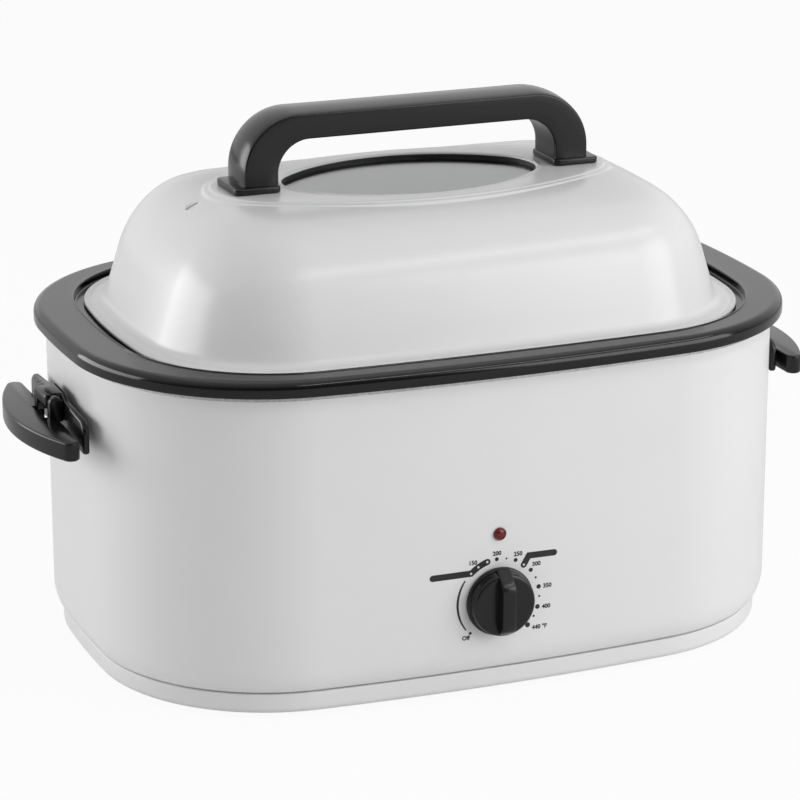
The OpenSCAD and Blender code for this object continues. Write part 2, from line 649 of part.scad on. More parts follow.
module bracket_screws() color(bare_steel) placed() for (turn = [0, 180], y = [-1, 1]) rotate([0, 0, turn]) {
    along_x([inner_end - 2.7, y * screw_y, bracket_screw_z], 4, 2.2);
    along_x([inner_end - 1, y * screw_y, bracket_screw_z], screw_d / 2, 7.5);
}

// ---- Lift-out pan and rack ----
module roasting_pan() color(enamel_black) placed() {
    lean = atan2(pan_taper, ledge_z - pan_floor_z);
    hub = [-pan_set_in - pan_taper - pan_floor_r, pan_floor_z + pan_floor_r];
    floor_in = pan_set_in + pan_taper + pan_floor_r + 6;
    // Floor edge, wall, ledge, step and bead of the recess
    carried(RECESS) polygon(concat(
        [[3, rim_z - pan_t], [3, rim_z], [1.6, rim_z]],
        [for (i = [1 : 4]) [0.8 + 0.8 * cos(i * 45), rim_z + recess_bead_h * sin(i * 45)]],
        [[0, ledge_z + 1.2], [-1.2, ledge_z], [-pan_set_in - 1, ledge_z], [-pan_set_in - pan_t, ledge_z - 1.5]],
        bend(hub, pan_floor_r - pan_t, lean, -90), [[-floor_in, pan_floor_z + pan_t], [-floor_in, pan_floor_z]],
        bend(hub, pan_floor_r, -90, lean), [[-pan_set_in, ledge_z - 2], [-pan_set_in + 1.1, ledge_z - pan_t],
        [-0.3, ledge_z - pan_t], [pan_t, ledge_z + 0.3], [pan_t, rim_z - pan_t]]));
    translate([0, 0, pan_floor_z]) plate(RECESS, -floor_in + 3, pan_t);
    // Flat top between the recess and the rolled edge
    translate([0, 0, rim_z - pan_t]) difference() {
        plate(RIM, -rim_roll_r - 1, pan_t);
        translate([0, 0, -1]) plate(RECESS, 2, pan_t + 2);
    }
    // Rolled edge, outer band and the hem it rests on
    band_foot = rim_z - rim_band_h;
    carried(RIM) polygon(concat(
        [[-rim_roll_r - 3, rim_z]], bend([-rim_roll_r, rim_z - rim_roll_r], rim_roll_r, 90, 0),
        [[0, band_foot + 1], [-1, band_foot], [-rim_roll_r - 5, band_foot], [-rim_roll_r - 5, band_foot + pan_t],
         [-1.4, band_foot + pan_t], [-pan_t, band_foot + 1.4]],
        bend([-rim_roll_r, rim_z - rim_roll_r], rim_roll_r - pan_t, 0, 90), [[-rim_roll_r - 3, rim_z - pan_t]]));
}

RACK = oblong(recess_a - pan_set_in - pan_taper - pan_floor_r - 2, recess_b - pan_set_in - pan_taper - pan_floor_r - 2,
    recess_corner_r - 60, recess_end_bow, recess_side_bow);
rack_a = RACK[0][0][0] + RACK[0][1];
rack_b = RACK[2][0][1] + RACK[2][1];
function rack_y(x) = let (c = RACK[1][0], r = RACK[1][1])
    abs(x) > c[0] ? c[1] + sqrt(r * r - pow(abs(x) - c[0], 2)) : rack_b - x * x / (2 * RACK[2][1]);
module wire_rack() color([0.75, 0.75, 0.77]) placed() {
    sides = 16;
    carried(RACK) polygon(bend([0, rack_z], rack_rim_d / 2, 0, 360 - 360 / sides, sides - 1));
    reach = rack_a - 28;
    for (i = [0 : rack_wires - 1]) {
        x = -reach + 2 * reach * i / (rack_wires - 1);
        along_y([x, -rack_y(x), rack_z + 0.6], rack_wire_d / 2, 2 * rack_y(x));
    }
    for (y = [-1, 1]) along_x([-rack_a + 1, y * rack_b * 0.4, rack_z - 1.2], rack_rim_d / 2 - 0.3, 2 * rack_a - 2);
    for (x = [-1, 1], y = [-1, 1]) translate([x * rack_a * 0.6, y * rack_b * 0.4, pan_floor_z + pan_t + seat_gap])
        cylinder(r = rack_rim_d / 2 - 0.6, h = rack_z - 1.2 - pan_floor_z - pan_t - seat_gap, $fn = 24);
}

// ---- Lift-off lid ----
// Outer surface of the dome from its flange to its crown, as [out from the lid's edge, height]
dome = concat(
    bend([-lid_bead_r, lid_seat_z + lid_bead_r], lid_bead_r, -90, 110, 8),
    [[-3.4, lid_flange_z], [-lid_flange_w + 5, lid_flange_z + 0.3], [-lid_flange_w + 1.5, lid_flange_z + 1.6],
     [-lid_flange_w - 1.2, lid_flange_z + 5]],
    bend([-wall_foot - shoulder_r * sin(90 - lid_draft), shoulder_z - shoulder_r * cos(90 - lid_draft)],
        shoulder_r, lid_draft, 90 - crown_slope, 9),
    [for (i = [1 : 4]) let (a = crown_slope * (1 - i / 4))
        [-crown_in + crown_r * sin(a), crown_z - crown_r * (1 - cos(a))]]);

// The same line moved in by the sheet's thickness
function inward(line, t) = [for (i = [0 : len(line) - 1])
    let (p = line[max(i - 1, 0)], q = line[min(i + 1, len(line) - 1)], d = (q - p) / norm(q - p))
    line[i] + t * [-d[1], d[0]]];

module lid_shell() color(enamel_white) placed() difference() {
    union() {
        flange = [for (i = [9 : len(dome) - 1]) dome[i]];
        under = inward(flange, lid_t);
        difference() {
            union() {
                carried(LID) polygon(concat(dome, [[-crown_in - 1, crown_z], [-crown_in - 1, crown_z - lid_t]],
                    [for (i = [len(under) - 1 : -1 : 0]) under[i]], [[-2 * lid_bead_r, lid_seat_z + lid_bead_r]]));
                translate([0, 0, crown_z - lid_t]) plate(LID, -crown_in, lid_t);
            }
            translate([0, 0, crown_z - 20]) plate(EMBOSS, -1.5, 40);
        }
        // Step of the embossed oval, and the panel inside it
        carried(EMBOSS) polygon([[1.2, crown_z - 2.7], [1.2, crown_z - 1.8], [-1, crown_z + 0.3], [-3, lid_top],
            [-8, lid_top], [-8, lid_top - lid_t], [-3.7, lid_top - lid_t], [-2, crown_z - 0.6], [0, crown_z - 2.7]]);
        translate([0, 0, lid_top - lid_t]) difference() {
            plate(EMBOSS, -6, lid_t);
            translate([0, 0, -1]) plate(WINDOW, 2.5, lid_t + 2);
        }
        // Bead round the window
        carried(WINDOW) polygon([[0.8, lid_top - lid_t], [4, lid_top - lid_t], [4, lid_top], [3.2, lid_top + 0.5],
            [2, lid_top + 0.5], [1.2, lid_top], [0.8, lid_top - 0.4]]);
    }
    for (side = [-1, 1]) {
        translate([side * foot_centre, 0, lid_top - 5]) cylinder(r = 3, h = 10);
        translate([side * vent_x, 0, crown_z - 20]) vent_slot();
    }
}

module vent_slot() linear_extrude(30) {
    square([7, 2], center = true);
    for (x = [-3.5, 3.5]) translate([x, 0]) circle(1, $fn = 24);
}

module window_glass() color([0.45, 0.47, 0.49, 0.5]) placed()
    translate([0, 0, lid_top - glass_drop - glass_t]) plate(WINDOW, 5, glass_t);

// Channel-section gasket that holds the glass's edge against the lid
module window_gasket() color(enamel_black) placed() carried(WINDOW) difference() {
    g = lid_top - glass_drop;
    translate([0, g - glass_t - 1.6]) square([gasket_w, glass_drop - lid_t - rest_gap + glass_t + 1.6]);
    translate([-5, g - glass_t - glass_fit]) square([10 + glass_fit, glass_t + 2 * glass_fit]);
}

module window_retainer() color(bare_steel) placed() difference() {
    g = lid_top - glass_drop - glass_t - 1.6;
    carried(WINDOW) translate([2, g - 1 - rest_gap / 2]) square([gasket_w + 6, 1]);
    for (a = [45 : 90 : 315]) translate(retainer_place(a)) cylinder(r = 1.8, h = 40, center = true);
}

retainer_turn = 24;
function retainer_place(a) =
    let (arc = WINDOW[a < 180 ? 1 : 3], turn = a == 45 || a == 225 ? -retainer_turn : retainer_turn,
         p = on_arc(arc, gasket_w + 4.6, arc[2] + arc[3] / 2 + turn))
    [p[0], p[1], lid_top - 10];

module retainer_screws() color(bare_steel) placed() for (a = [45 : 90 : 315]) {
    p = retainer_place(a);
    g = lid_top - glass_drop - glass_t - 1.6 - 1 - rest_gap / 2;
    translate([p[0], p[1], g - 1.9]) cylinder(r = 3, h = 1.8, $fn = 32);
    translate([p[0], p[1], g - 0.5]) cylinder(r = 1.5, h = lid_top - lid_t - g + 0.4, $fn = 32);
}

// Arched handle: its front outline, trimmed by its plan and its end view so that the long edges are round
module handle_outline() difference() {
    foot = lid_top + collar_h + 0.05;
    union() {
        translate([-grip_a, foot]) square([2 * grip_a, grip_h - collar_h - bend_out_r]);
        translate([-grip_a + bend_out_r, foot]) square([2 * (grip_a - bend_out_r), grip_top - foot]);
        for (x = [-1, 1]) translate([x * (grip_a - bend_out_r), grip_top - bend_out_r]) circle(bend_out_r, $fn = 180);
    }
    inner = grip_a - leg_t;
    under = grip_top - bar_t;
    translate([-inner, foot - 60]) square([2 * inner, under - bend_in_r - foot + 60]);
    translate([-inner + bend_in_r, foot - 1]) square([2 * (inner - bend_in_r), under - foot + 1]);
    for (x = [-1, 1]) translate([x * (inner - bend_in_r), under - bend_in_r]) circle(bend_in_r, $fn = 120);
    translate([-2 * grip_a, foot - grip_h]) square([4 * grip_a, grip_h]);
}

module soft_square(x, y, r) {
    square([x - 2 * r, y], center = true);
    square([x, y - 2 * r], center = true);
    for (i = [-1, 1], j = [-1, 1]) translate([i * (x / 2 - r), j * (y / 2 - r)]) circle(r);
}

// One end of a bar with a bulging outer face, reach long and depth wide, its edges rounded by r
module bulged(reach, depth, bulge, r) {
    big = (depth * depth / 4 + bulge * bulge) / (2 * bulge);
    hub = [reach - big, 0];
    edge = [hub[0] + sqrt(pow(big - r, 2) - pow(depth / 2 - r, 2)), depth / 2 - r];
    far = hub + (big + 9) * (edge - hub) / norm(edge - hub);
    translate([0, -depth / 2]) square([edge[0], depth]);
    for (y = [-1, 1]) translate([edge[0], y * edge[1]]) circle(r);
    intersection() {
        translate(hub) circle(big, $fn = 360);
        polygon([[0, -edge[1]], flip_y(edge), flip_y(far), [reach + 10, 0], far, edge, [0, edge[1]]]);
    }
}

module lid_handle() color(moulded_black) placed() difference() {
    intersection() {
        translate([0, grip_d / 2, 0]) rotate([90, 0, 0]) linear_extrude(grip_d) handle_outline();
        linear_extrude(grip_top + 1) for (turn = [0, 180])
            rotate(turn) bulged(grip_a, grip_d, grip_bulge, grip_edge_r);
        translate([-grip_a - 1, 0, 0]) rotate([90, 0, 90]) linear_extrude(2 * grip_a + 2)
            rotate(90) bulged(grip_top, grip_d, grip_bulge, grip_edge_r);
    }
    for (side = [-1, 1]) translate([side * foot_centre, 0, lid_top])
        cylinder(r = 2 + shaft_gap, h = collar_h + 22);
}

// Foot of the handle, drawn about its screw at the +X end
module collar() difference() {
    x = leg_t + collar_out + collar_inn;
    y = grip_d + 2 * collar_side;
    translate([(collar_out - collar_inn) / 2, 0, 0]) {
        linear_extrude(collar_h - 1.2) soft_square(x, y, 5);
        translate([0, 0, collar_h - 1.2]) linear_extrude(1.2) soft_square(x - 2.4, y - 2.4, 4);
    }
    translate([0, 0, -1]) cylinder(r = 2.5, h = collar_h + 2);
}
module collar_right() color(moulded_black) placed() translate([foot_centre, 0, lid_top]) collar();
module collar_left() color(moulded_black) placed() translate([-foot_centre, 0, lid_top]) rotate([0, 0, 180]) collar();

module lid_handle_washers() color(bare_steel) placed() for (side = [-1, 1])
    translate([side * foot_centre, 0, lid_top - lid_t - 1.2]) difference() {
        cylinder(r = 8, h = 1.1);
        translate([0, 0, -1]) cylinder(r = 2.3, h = 4);
    }

module lid_handle_screws() color(bare_steel) placed() for (side = [-1, 1])
    translate([side * foot_centre, 0, lid_top - lid_t - 1.3]) {
        translate([0, 0, -2.4]) cylinder(r = 4.2, h = 2.4);
        translate([0, 0, -0.5]) cylinder(r = 2, h = collar_h + 20);
    }

// ---- Knob ----
// Drawn pointing up, its axis along Y and its back at y = 0
module knob() color(moulded_black) placed() translate([knob_x, -knob_plane - knob_gap, knob_z]) rotate([90, 0, 0])
difference() {
    union() {
        rotate_extrude() polygon(concat(
            [[0, 0], [knob_back_r, 0], [knob_back_r, 2.4], [knob_back_r - 0.8, 3.2], [knob_back_r - 1.2, 3.2]],
            bend([knob_front_r - 1.4, knob_depth - 1.4], 1.4, 0, 90, 4), [[0, knob_depth]]));
        translate([knob_bar_w / 2, 0, 0]) rotate([90, 0, -90]) linear_extrude(knob_bar_w) bar_side();
    }
    translate([0, 0, -1]) cylinder(r = knob_front_r - 3, h = knob_depth - 3);
    translate([0, 0, -1]) intersection() {
        cylinder(r = shaft_d / 2 + shaft_gap, h = knob_depth + 4);
        translate([-shaft_d, -shaft_d, 0]) cube([2 * shaft_d, 1.5 * shaft_d - 1 + shaft_gap, knob_depth + 4]);
    }
}

// Side view of the grip bar and its pointer, [height up the dial, depth out of the dial]
module bar_side() polygon([
    [-knob_front_r + 1.5, knob_depth - 1], [-knob_front_r + 5, knob_depth + knob_bar_h - 2.5],
    [-knob_front_r + 8, knob_depth + knob_bar_h], [knob_front_r - 10, knob_depth + knob_bar_h],
    [knob_front_r - 6, knob_depth + knob_bar_h - 1.5], [knob_back_r + 1.5, knob_depth - 3.5],
    [knob_back_r + 1.5, knob_depth - 6.5], [knob_front_r - 2, knob_depth - 6.5], [knob_front_r - 4, knob_depth - 3]]);

module thermostat_shaft() color(bare_steel) placed()
    translate([knob_x, -knob_plane - knob_gap - knob_depth - 2, knob_z])
    rotate([-90, 0, 0]) difference() {
        cylinder(r = shaft_d / 2, h = knob_depth + knob_gap + 2 + wall_t + 7);
        translate([-shaft_d, -1.5 * shaft_d - shaft_d / 2 + 1, -1]) cube([2 * shaft_d, 1.5 * shaft_d, knob_depth + 2]);
    }

module shaft_clip() color(bare_steel) placed() translate([knob_x, -knob_plane - 1, knob_z]) rotate([-90, 0, 0])
difference() {
    cylinder(r = shaft_d / 2 + 2, h = 0.8);
    translate([0, 0, -1]) cylinder(r = shaft_d / 2 + 0.02, h = 3);
    translate([-1, 0, -1]) cube([2, shaft_d, 3]);
}

outer_shell();
base_pan();
rubber_feet();
foot_screws();
cooking_well();
heating_band();
insulation_blanket();
tie_strap();
tie_bolt();
thermostat();
thermostat_bracket();
thermostat_screws();
pilot_lens();
pilot_lamp();
terminal_block();
lead_wires();
cord_gland();
handle_bracket_left();
handle_bracket_right();
side_grip_left();
side_grip_right();
grip_pins();
bracket_screws();
roasting_pan();
wire_rack();
lid_shell();
window_gasket();
window_glass();
window_retainer();
retainer_screws();
lid_handle();
collar_left();
collar_right();
lid_handle_screws();
lid_handle_washers();
knob();
thermostat_shaft();
shaft_clip();
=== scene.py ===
import math

import bmesh
import bpy
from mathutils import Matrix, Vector


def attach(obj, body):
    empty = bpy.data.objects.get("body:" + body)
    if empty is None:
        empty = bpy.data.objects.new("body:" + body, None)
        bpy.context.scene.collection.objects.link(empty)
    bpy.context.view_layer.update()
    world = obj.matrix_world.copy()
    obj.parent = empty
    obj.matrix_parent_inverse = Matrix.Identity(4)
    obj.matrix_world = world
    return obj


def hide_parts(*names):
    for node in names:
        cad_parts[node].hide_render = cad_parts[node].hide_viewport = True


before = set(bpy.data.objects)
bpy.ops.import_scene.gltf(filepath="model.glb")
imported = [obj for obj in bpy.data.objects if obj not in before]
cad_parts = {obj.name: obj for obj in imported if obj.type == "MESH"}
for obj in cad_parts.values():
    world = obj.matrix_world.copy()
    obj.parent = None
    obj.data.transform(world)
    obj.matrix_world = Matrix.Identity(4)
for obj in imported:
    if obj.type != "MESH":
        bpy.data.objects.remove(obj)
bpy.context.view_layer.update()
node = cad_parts

# ---- Studio ----
# A white table and surround. A broad lamp stands before the oven on its right and a lower one behind it on
# its left, so the front-left corner reads darkest. A panel hangs overhead, and a narrow strip above the
# front draws a light line along the black edges.
MM = 0.001
bpy.context.scene.view_settings.view_transform = "Standard"


def linear(code):
    """Linear colour of an sRGB hex value"""
    parts = [int(code[i:i + 2], 16) / 255 for i in (0, 2, 4)]
    return [c / 12.92 if c <= 0.04045 else ((c + 0.055) / 1.055) ** 2.4 for c in parts] + [1]


def add_node(tree, kind, settings=None, values=None, links=None):
    """Adds a node with its settings, its sockets' values and its incoming links"""
    made = tree.nodes.new(kind)
    for key, value in (settings or {}).items():
        setattr(made, key, value)
    for key, value in (values or {}).items():
        made.inputs[key].default_value = value
    for key, source in (links or {}).items():
        tree.links.new(source, made.inputs[key])
    return made


def area_lamp(name, place, aim, width, height, power):
    """A rectangular lamp that faces its aim, in metres and watts"""
    bpy.ops.object.light_add(type="AREA", location=place)
    lamp = bpy.context.object
    lamp.name = name
    lamp.rotation_euler = (Vector(aim) - Vector(place)).to_track_quat("-Z", "Y").to_euler()
    lamp.data.shape = "RECTANGLE"
    lamp.data.size = width
    lamp.data.size_y = height
    lamp.data.energy = power
    return lamp


area_lamp("front_lamp", (2.5, -2.6, 1.25), (0, 0, 0.16), 3.0, 2.3, 79)
area_lamp("side_lamp", (-2.7, 1.4, 0.7), (0, 0, 0.12), 3.0, 1.4, 58)
area_lamp("ceiling_lamp", (0.2, 0.5, 2.6), (0, 0, 0.2), 2.6, 1.8, 6)
area_lamp("edge_strip", (1.0, -1.5, 2.2), (0, 0, 0.3), 2.6, 0.14, 11)

world = bpy.data.worlds.new("surround")
bpy.context.scene.world = world
world.use_nodes = True
tree = world.node_tree
tree.nodes.clear()
# The camera and the glass see plain white. Gloss sees a room that is dim in front and pale behind and above
rays = add_node(tree, "ShaderNodeLightPath")
seen = add_node(tree, "ShaderNodeMath", {"operation": "MAXIMUM"}, {},
                {0: rays.outputs["Is Camera Ray"], 1: rays.outputs["Is Transmission Ray"]})
way = add_node(tree, "ShaderNodeTexCoord")
rise = add_node(tree, "ShaderNodeVectorMath", {"operation": "DOT_PRODUCT"}, {1: (0.1, 0.55, 0.8)},
                {0: way.outputs["Generated"]})
room = add_node(tree, "ShaderNodeMapRange", {"interpolation_type": "SMOOTHSTEP"},
                {"From Min": -0.35, "From Max": 0.75, "To Min": 0.08, "To Max": 0.95},
                {"Value": rise.outputs["Value"]})
shiny = add_node(tree, "ShaderNodeMath", {"operation": "MULTIPLY"}, {},
                 {0: rays.outputs["Is Glossy Ray"], 1: room.outputs[0]})
soft = add_node(tree, "ShaderNodeMath", {"operation": "MULTIPLY"}, {1: 0.3},
                {0: rays.outputs["Is Diffuse Ray"]})
both = add_node(tree, "ShaderNodeMath", {"operation": "MAXIMUM"}, {},
                {0: shiny.outputs[0], 1: soft.outputs[0]})
strength = add_node(tree, "ShaderNodeMath", {"operation": "MAXIMUM"}, {},
                    {0: seen.outputs[0], 1: both.outputs[0]})
air = add_node(tree, "ShaderNodeBackground", {}, {"Color": (1, 1, 1, 1)}, {"Strength": strength.outputs[0]})
add_node(tree, "ShaderNodeOutputWorld", {}, {}, {"Surface": air.outputs[0]})


def new_material(name):
    material = bpy.data.materials.new(name)
    material.use_nodes = True
    material.node_tree.nodes.clear()
    return material, material.node_tree


bpy.ops.object.select_all(action="DESELECT")
bpy.ops.mesh.primitive_plane_add(size=14, location=(0, 0, 0))
table = bpy.context.object
table.name = "table_top"
material, tree = new_material("matt_white_table")
rays = add_node(tree, "ShaderNodeLightPath")
paper = add_node(tree, "ShaderNodeBsdfDiffuse", {}, {"Color": linear("F2F2F2")})
glow = add_node(tree, "ShaderNodeEmission", {}, {"Color": (1, 1, 1, 1), "Strength": 1})
# Seen straight, the table is nearly its own white and keeps a faint shadow
lifted = add_node(tree, "ShaderNodeMath", {"operation": "MULTIPLY"}, {1: 0.93},
                  {0: rays.outputs["Is Camera Ray"]})
mixed = add_node(tree, "ShaderNodeMixShader", {}, {},
                 {0: lifted.outputs[0], 1: paper.outputs[0], 2: glow.outputs[0]})
add_node(tree, "ShaderNodeOutputMaterial", {}, {}, {"Surface": mixed.outputs[0]})
table.data.materials.append(material)

# The camera stands to the left of the knob and a little above the oven, with a long lens
swing, climb, distance = math.radians(-21.88), math.radians(17.65), 2.484
aim = Vector((0, 0.0058, 0.1568))
bpy.ops.object.camera_add(
    location=aim + distance * Vector((math.sin(swing) * math.cos(climb), -math.cos(swing) * math.cos(climb),
                                      math.sin(climb))),
    rotation=(math.pi / 2 - climb, 0, swing))
camera = bpy.context.object
camera.data.sensor_width = 36
camera.data.lens = 150.6
camera.data.shift_x = -0.012
camera.data.shift_y = 0.0173
bpy.context.scene.camera = camera

# ---- Casing: outer shell and base pan ----
# Two drawings of thin steel sheet under satin white stove paint. The shell's foot is curled in to an open
# seam, under which the base pan closes the casing, held up by one bolt in its middle.
SHIFT = 5.8       # the oven stands this far back, so that its knob is inside the part's box
WALL_OUT = -8.5   # the wall stands in from the rim's outline


def oblong(half_long, half_wide, corner, end_bow, side_bow):
    """Eight tangent arcs of a bowed oblong, each [centre x, centre y, radius, first turn, swept turn]"""
    room = [half_long - corner, half_wide - corner]
    cx = round((room[0] - end_bow * room[1]) / (1 - end_bow * side_bow), 2)
    cy = round((room[1] - side_bow * room[0]) / (1 - end_bow * side_bow), 2)
    e, f = (1 + end_bow ** 2) / (2 * end_bow), (1 + side_bow ** 2) / (2 * side_bow)
    first, last = 2 * math.degrees(math.atan(end_bow)), 90 - 2 * math.degrees(math.atan(side_bow))
    end_r, end_x = corner + cy * e, cx - cy * (e - end_bow)
    side_r, side_y = corner + cx * f, cy - cx * (f - side_bow)
    sweep = last - first
    return [[end_x, 0, end_r, -first, 2 * first], [cx, cy, corner, first, sweep],
            [0, side_y, side_r, last, 180 - 2 * last], [-cx, cy, corner, 180 - last, sweep],
            [-end_x, 0, end_r, 180 - first, 2 * first], [-cx, -cy, corner, 180 + first, sweep],
            [0, -side_y, side_r, 180 + last, 180 - 2 * last], [cx, -cy, corner, 360 - last, sweep]]


RIM = oblong(270, 187, 144, 0.025, 0.04)
# Directions square to the outline, close together where its arcs are slack
QUARTER = ([0.95 * i for i in range(6)] + [5.72 + 2.5438 * i for i in range(32)]
           + [87.12 + 0.41 * i for i in range(7)])
QUARTER = sorted(set(QUARTER + [85.42, 86, 86.6]))
TURNS = QUARTER + [90] + [180 - t for t in reversed(QUARTER[1:])]
TURNS = TURNS + [180 + t for t in TURNS]


def on_outline(outline, turn, out):
    """The point of an outline whose outward direction is turn, moved out by so much"""
    for cx, cy, radius, first, sweep in outline:
        if (turn - first) % 360 <= sweep + 1e-6:
            a = math.radians(turn)
            return cx + (radius + out) * math.cos(a), cy + (radius + out) * math.sin(a)


def ring(outline, out, z):
    """One ring of points, out from an outline and at one height, in millimetres"""
    return [(*on_outline(outline, t, out), z) for t in TURNS]


def between(one, two, share):
    """The ring that lies a share of the way from one ring to another"""
    return [tuple(p + (q - p) * share for p, q in zip(u, v)) for u, v in zip(one, two)]


def bend(cx, cz, r, first, last, n):
    """Points of a bend in a section: [out, height]"""
    return [(cx + r * math.cos(math.radians(first + (last - first) * i / n)),
             cz + r * math.sin(math.radians(first + (last - first) * i / n))) for i in range(n + 1)]


def start_piece(name, corners):
    """A new circle of that many corners, alone in edit mode"""
    if bpy.context.mode != "OBJECT":
        bpy.ops.object.mode_set(mode="OBJECT")
    bpy.ops.object.select_all(action="DESELECT")
    bpy.ops.mesh.primitive_circle_add(vertices=corners, radius=0.1, location=(0, 0, 0))
    piece = bpy.context.object
    piece.name = piece.data.name = name
    bpy.ops.object.mode_set(mode="EDIT")
    return piece


def settle(piece, points):
    """Puts the selected ring of vertices on its points, in the order in which they lie"""
    mesh = bmesh.from_edit_mesh(piece.data)
    mesh.verts.ensure_lookup_table()
    picked = [v for v in mesh.verts if v.select]
    order = piece["order"].to_dict() if "order" in piece else {}
    for i, v in enumerate(picked):
        key = "%.6f %.6f %.6f" % tuple(v.co)
        k = order.get(key, i)
        v.co = (points[k][0] * MM, (points[k][1] + SHIFT) * MM, points[k][2] * MM)
        v.index = k
    bmesh.update_edit_mesh(piece.data)
    piece["order"] = {"%.6f %.6f %.6f" % tuple(v.co): v.index for v in picked}


def carried(name, rings):
    """A sheet drawn from ring to ring by extrusion"""
    piece = start_piece(name, len(rings[0]))
    settle(piece, rings[0])
    for points in rings[1:]:
        bpy.ops.mesh.extrude_region()
        settle(piece, points)
    return piece


def finish_piece(piece, sheet=0.0, soft=0.0, steps=3, angle=35):
    """Closes the mesh, gives a sheet its thickness or an edge its rounding, and smooths the shading"""
    bpy.ops.mesh.select_all(action="SELECT")
    bpy.ops.mesh.remove_doubles(threshold=0.002 * MM)
    bpy.ops.mesh.normals_make_consistent(inside=False)
    bpy.ops.mesh.select_all(action="DESELECT")
    bpy.ops.object.mode_set(mode="OBJECT")
    if "order" in piece:
        del piece["order"]
    if sheet:
        bpy.ops.object.modifier_add(type="SOLIDIFY")
        change = piece.modifiers[-1]
        change.thickness = sheet * MM
        change.offset = -1
        change.use_even_offset = True
        bpy.ops.object.modifier_apply(modifier=change.name)
    if soft:
        bpy.ops.object.modifier_add(type="BEVEL")
        change = piece.modifiers[-1]
        change.width = soft * MM
        change.segments = steps
        change.limit_method = "ANGLE"
        change.angle_limit = math.radians(angle)
        change.use_clamp_overlap = True
        bpy.ops.object.modifier_apply(modifier=change.name)
    bpy.ops.object.shade_smooth_by_angle(angle=math.radians(angle))


curl_r = 29.02
shell = [(WALL_OUT, z) for z in (237, 236, 190, 140, 90, 50, 40)]
shell += bend(WALL_OUT - curl_r, 37.6, curl_r, 0, -34.6, 9) + [(-14.1, 20.9), (-14.9, 20.6), (-22, 20.6)]
outer_shell = carried("casing_shell", [ring(RIM, x, z) for x, z in shell])
finish_piece(outer_shell, sheet=0.8)

base = [(-22, 19.3), (-16.6, 19.3), (-15.3, 19.1), (-14.9, 18.6), (-14.8, 14), (-14.8, 10)]
base += bend(-19.8, 9, 5, 0, -90, 7) + [(-30, 4), (-60, 4), (-110, 4)]
base_pan = carried("casing_base", [ring(RIM, x, z) for x, z in base])
bpy.ops.mesh.edge_face_add()
finish_piece(base_pan, sheet=0.8)

# Polyester stove paint, sprayed and baked: an even satin with a very fine orange peel
material, tree = new_material("satin_white_stove_paint")
place = add_node(tree, "ShaderNodeTexCoord")
peel = add_node(tree, "ShaderNodeTexNoise", {}, {"Scale": 1 / (1.6 * MM), "Detail": 2, "Roughness": 0.5},
                {"Vector": place.outputs["Object"]})
bump = add_node(tree, "ShaderNodeBump", {}, {"Strength": 0.05, "Distance": 0.06 * MM},
                {"Height": peel.outputs[0]})
wear = add_node(tree, "ShaderNodeTexNoise", {}, {"Scale": 1 / (110 * MM), "Detail": 3},
                {"Vector": place.outputs["Object"]})
shade = add_node(tree, "ShaderNodeValToRGB", {}, {}, {0: wear.outputs[0]})
shade.color_ramp.elements[0].position = 0.3
shade.color_ramp.elements[0].color = linear("E2E2E3")
shade.color_ramp.elements[1].position = 0.7
shade.color_ramp.elements[1].color = linear("E4E4E5")
skin = add_node(tree, "ShaderNodeBsdfPrincipled", {}, {"Roughness": 0.33, "IOR": 1.5},
                {"Base Color": shade.outputs[0], "Normal": bump.outputs[0]})
add_node(tree, "ShaderNodeOutputMaterial", {}, {}, {"Surface": skin.outputs[0]})
for piece, cad in ((outer_shell, "outer_shell"), (base_pan, "base_pan")):
    piece.data.materials.append(material)
    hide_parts(cad)
    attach(piece, "casing")


# ---- Feet, well, heater and wiring inside the casing ----
# Rubber feet under the base, and inside it the coated cooking well with a heating band round it, glass wool,
# the strap and bolt in the middle, the thermostat behind the knob, terminals, leads and the cord's gland.
def dress(made, *names):
    """Gives carried-over nodes a finish"""
    for name in names:
        node[name].data.materials.clear()
        node[name].data.materials.append(made)


def plain_finish(name, colour, grain, depth, rough, metal=0.0, darker=None, ior=1.5):
    """A finish with two near shades and a grain of a real size in millimetres"""
    made, tree = new_material(name)
    place = add_node(tree, "ShaderNodeTexCoord")
    noise = add_node(tree, "ShaderNodeTexNoise", {}, {"Scale": 1 / (grain * MM), "Detail": 3},
                     {"Vector": place.outputs["Object"]})
    shade = add_node(tree, "ShaderNodeValToRGB", {}, {}, {0: noise.outputs[0]})
    shade.color_ramp.elements[0].position = 0.35
    shade.color_ramp.elements[0].color = linear(darker or colour)
    shade.color_ramp.elements[1].position = 0.65
    shade.color_ramp.elements[1].color = linear(colour)
    bump = add_node(tree, "ShaderNodeBump", {}, {"Strength": 0.3, "Distance": depth * MM},
                    {"Height": noise.outputs[0]})
    values = {"Roughness": rough, "Metallic": metal}
    if not metal:
        values["IOR"] = ior
    skin = add_node(tree, "ShaderNodeBsdfPrincipled", {}, values,
                    {"Base Color": shade.outputs[0], "Normal": bump.outputs[0]})
    add_node(tree, "ShaderNodeOutputMaterial", {}, {}, {"Surface": skin.outputs[0]})
    return made


# Natural rubber, moulded: dull, with a faint bloom
dress(plain_finish("moulded_feet_rubber", "262627", 0.8, 0.05, 0.75, darker="1C1C1D"), "rubber_feet")
# Aluminised steel sheet, rolled: soft grey shine with a fine spangle
dress(plain_finish("aluminised_steel_sheet", "C4C4C2", 2.2, 0.01, 0.38, 1.0, "ABABA9"), "cooking_well")
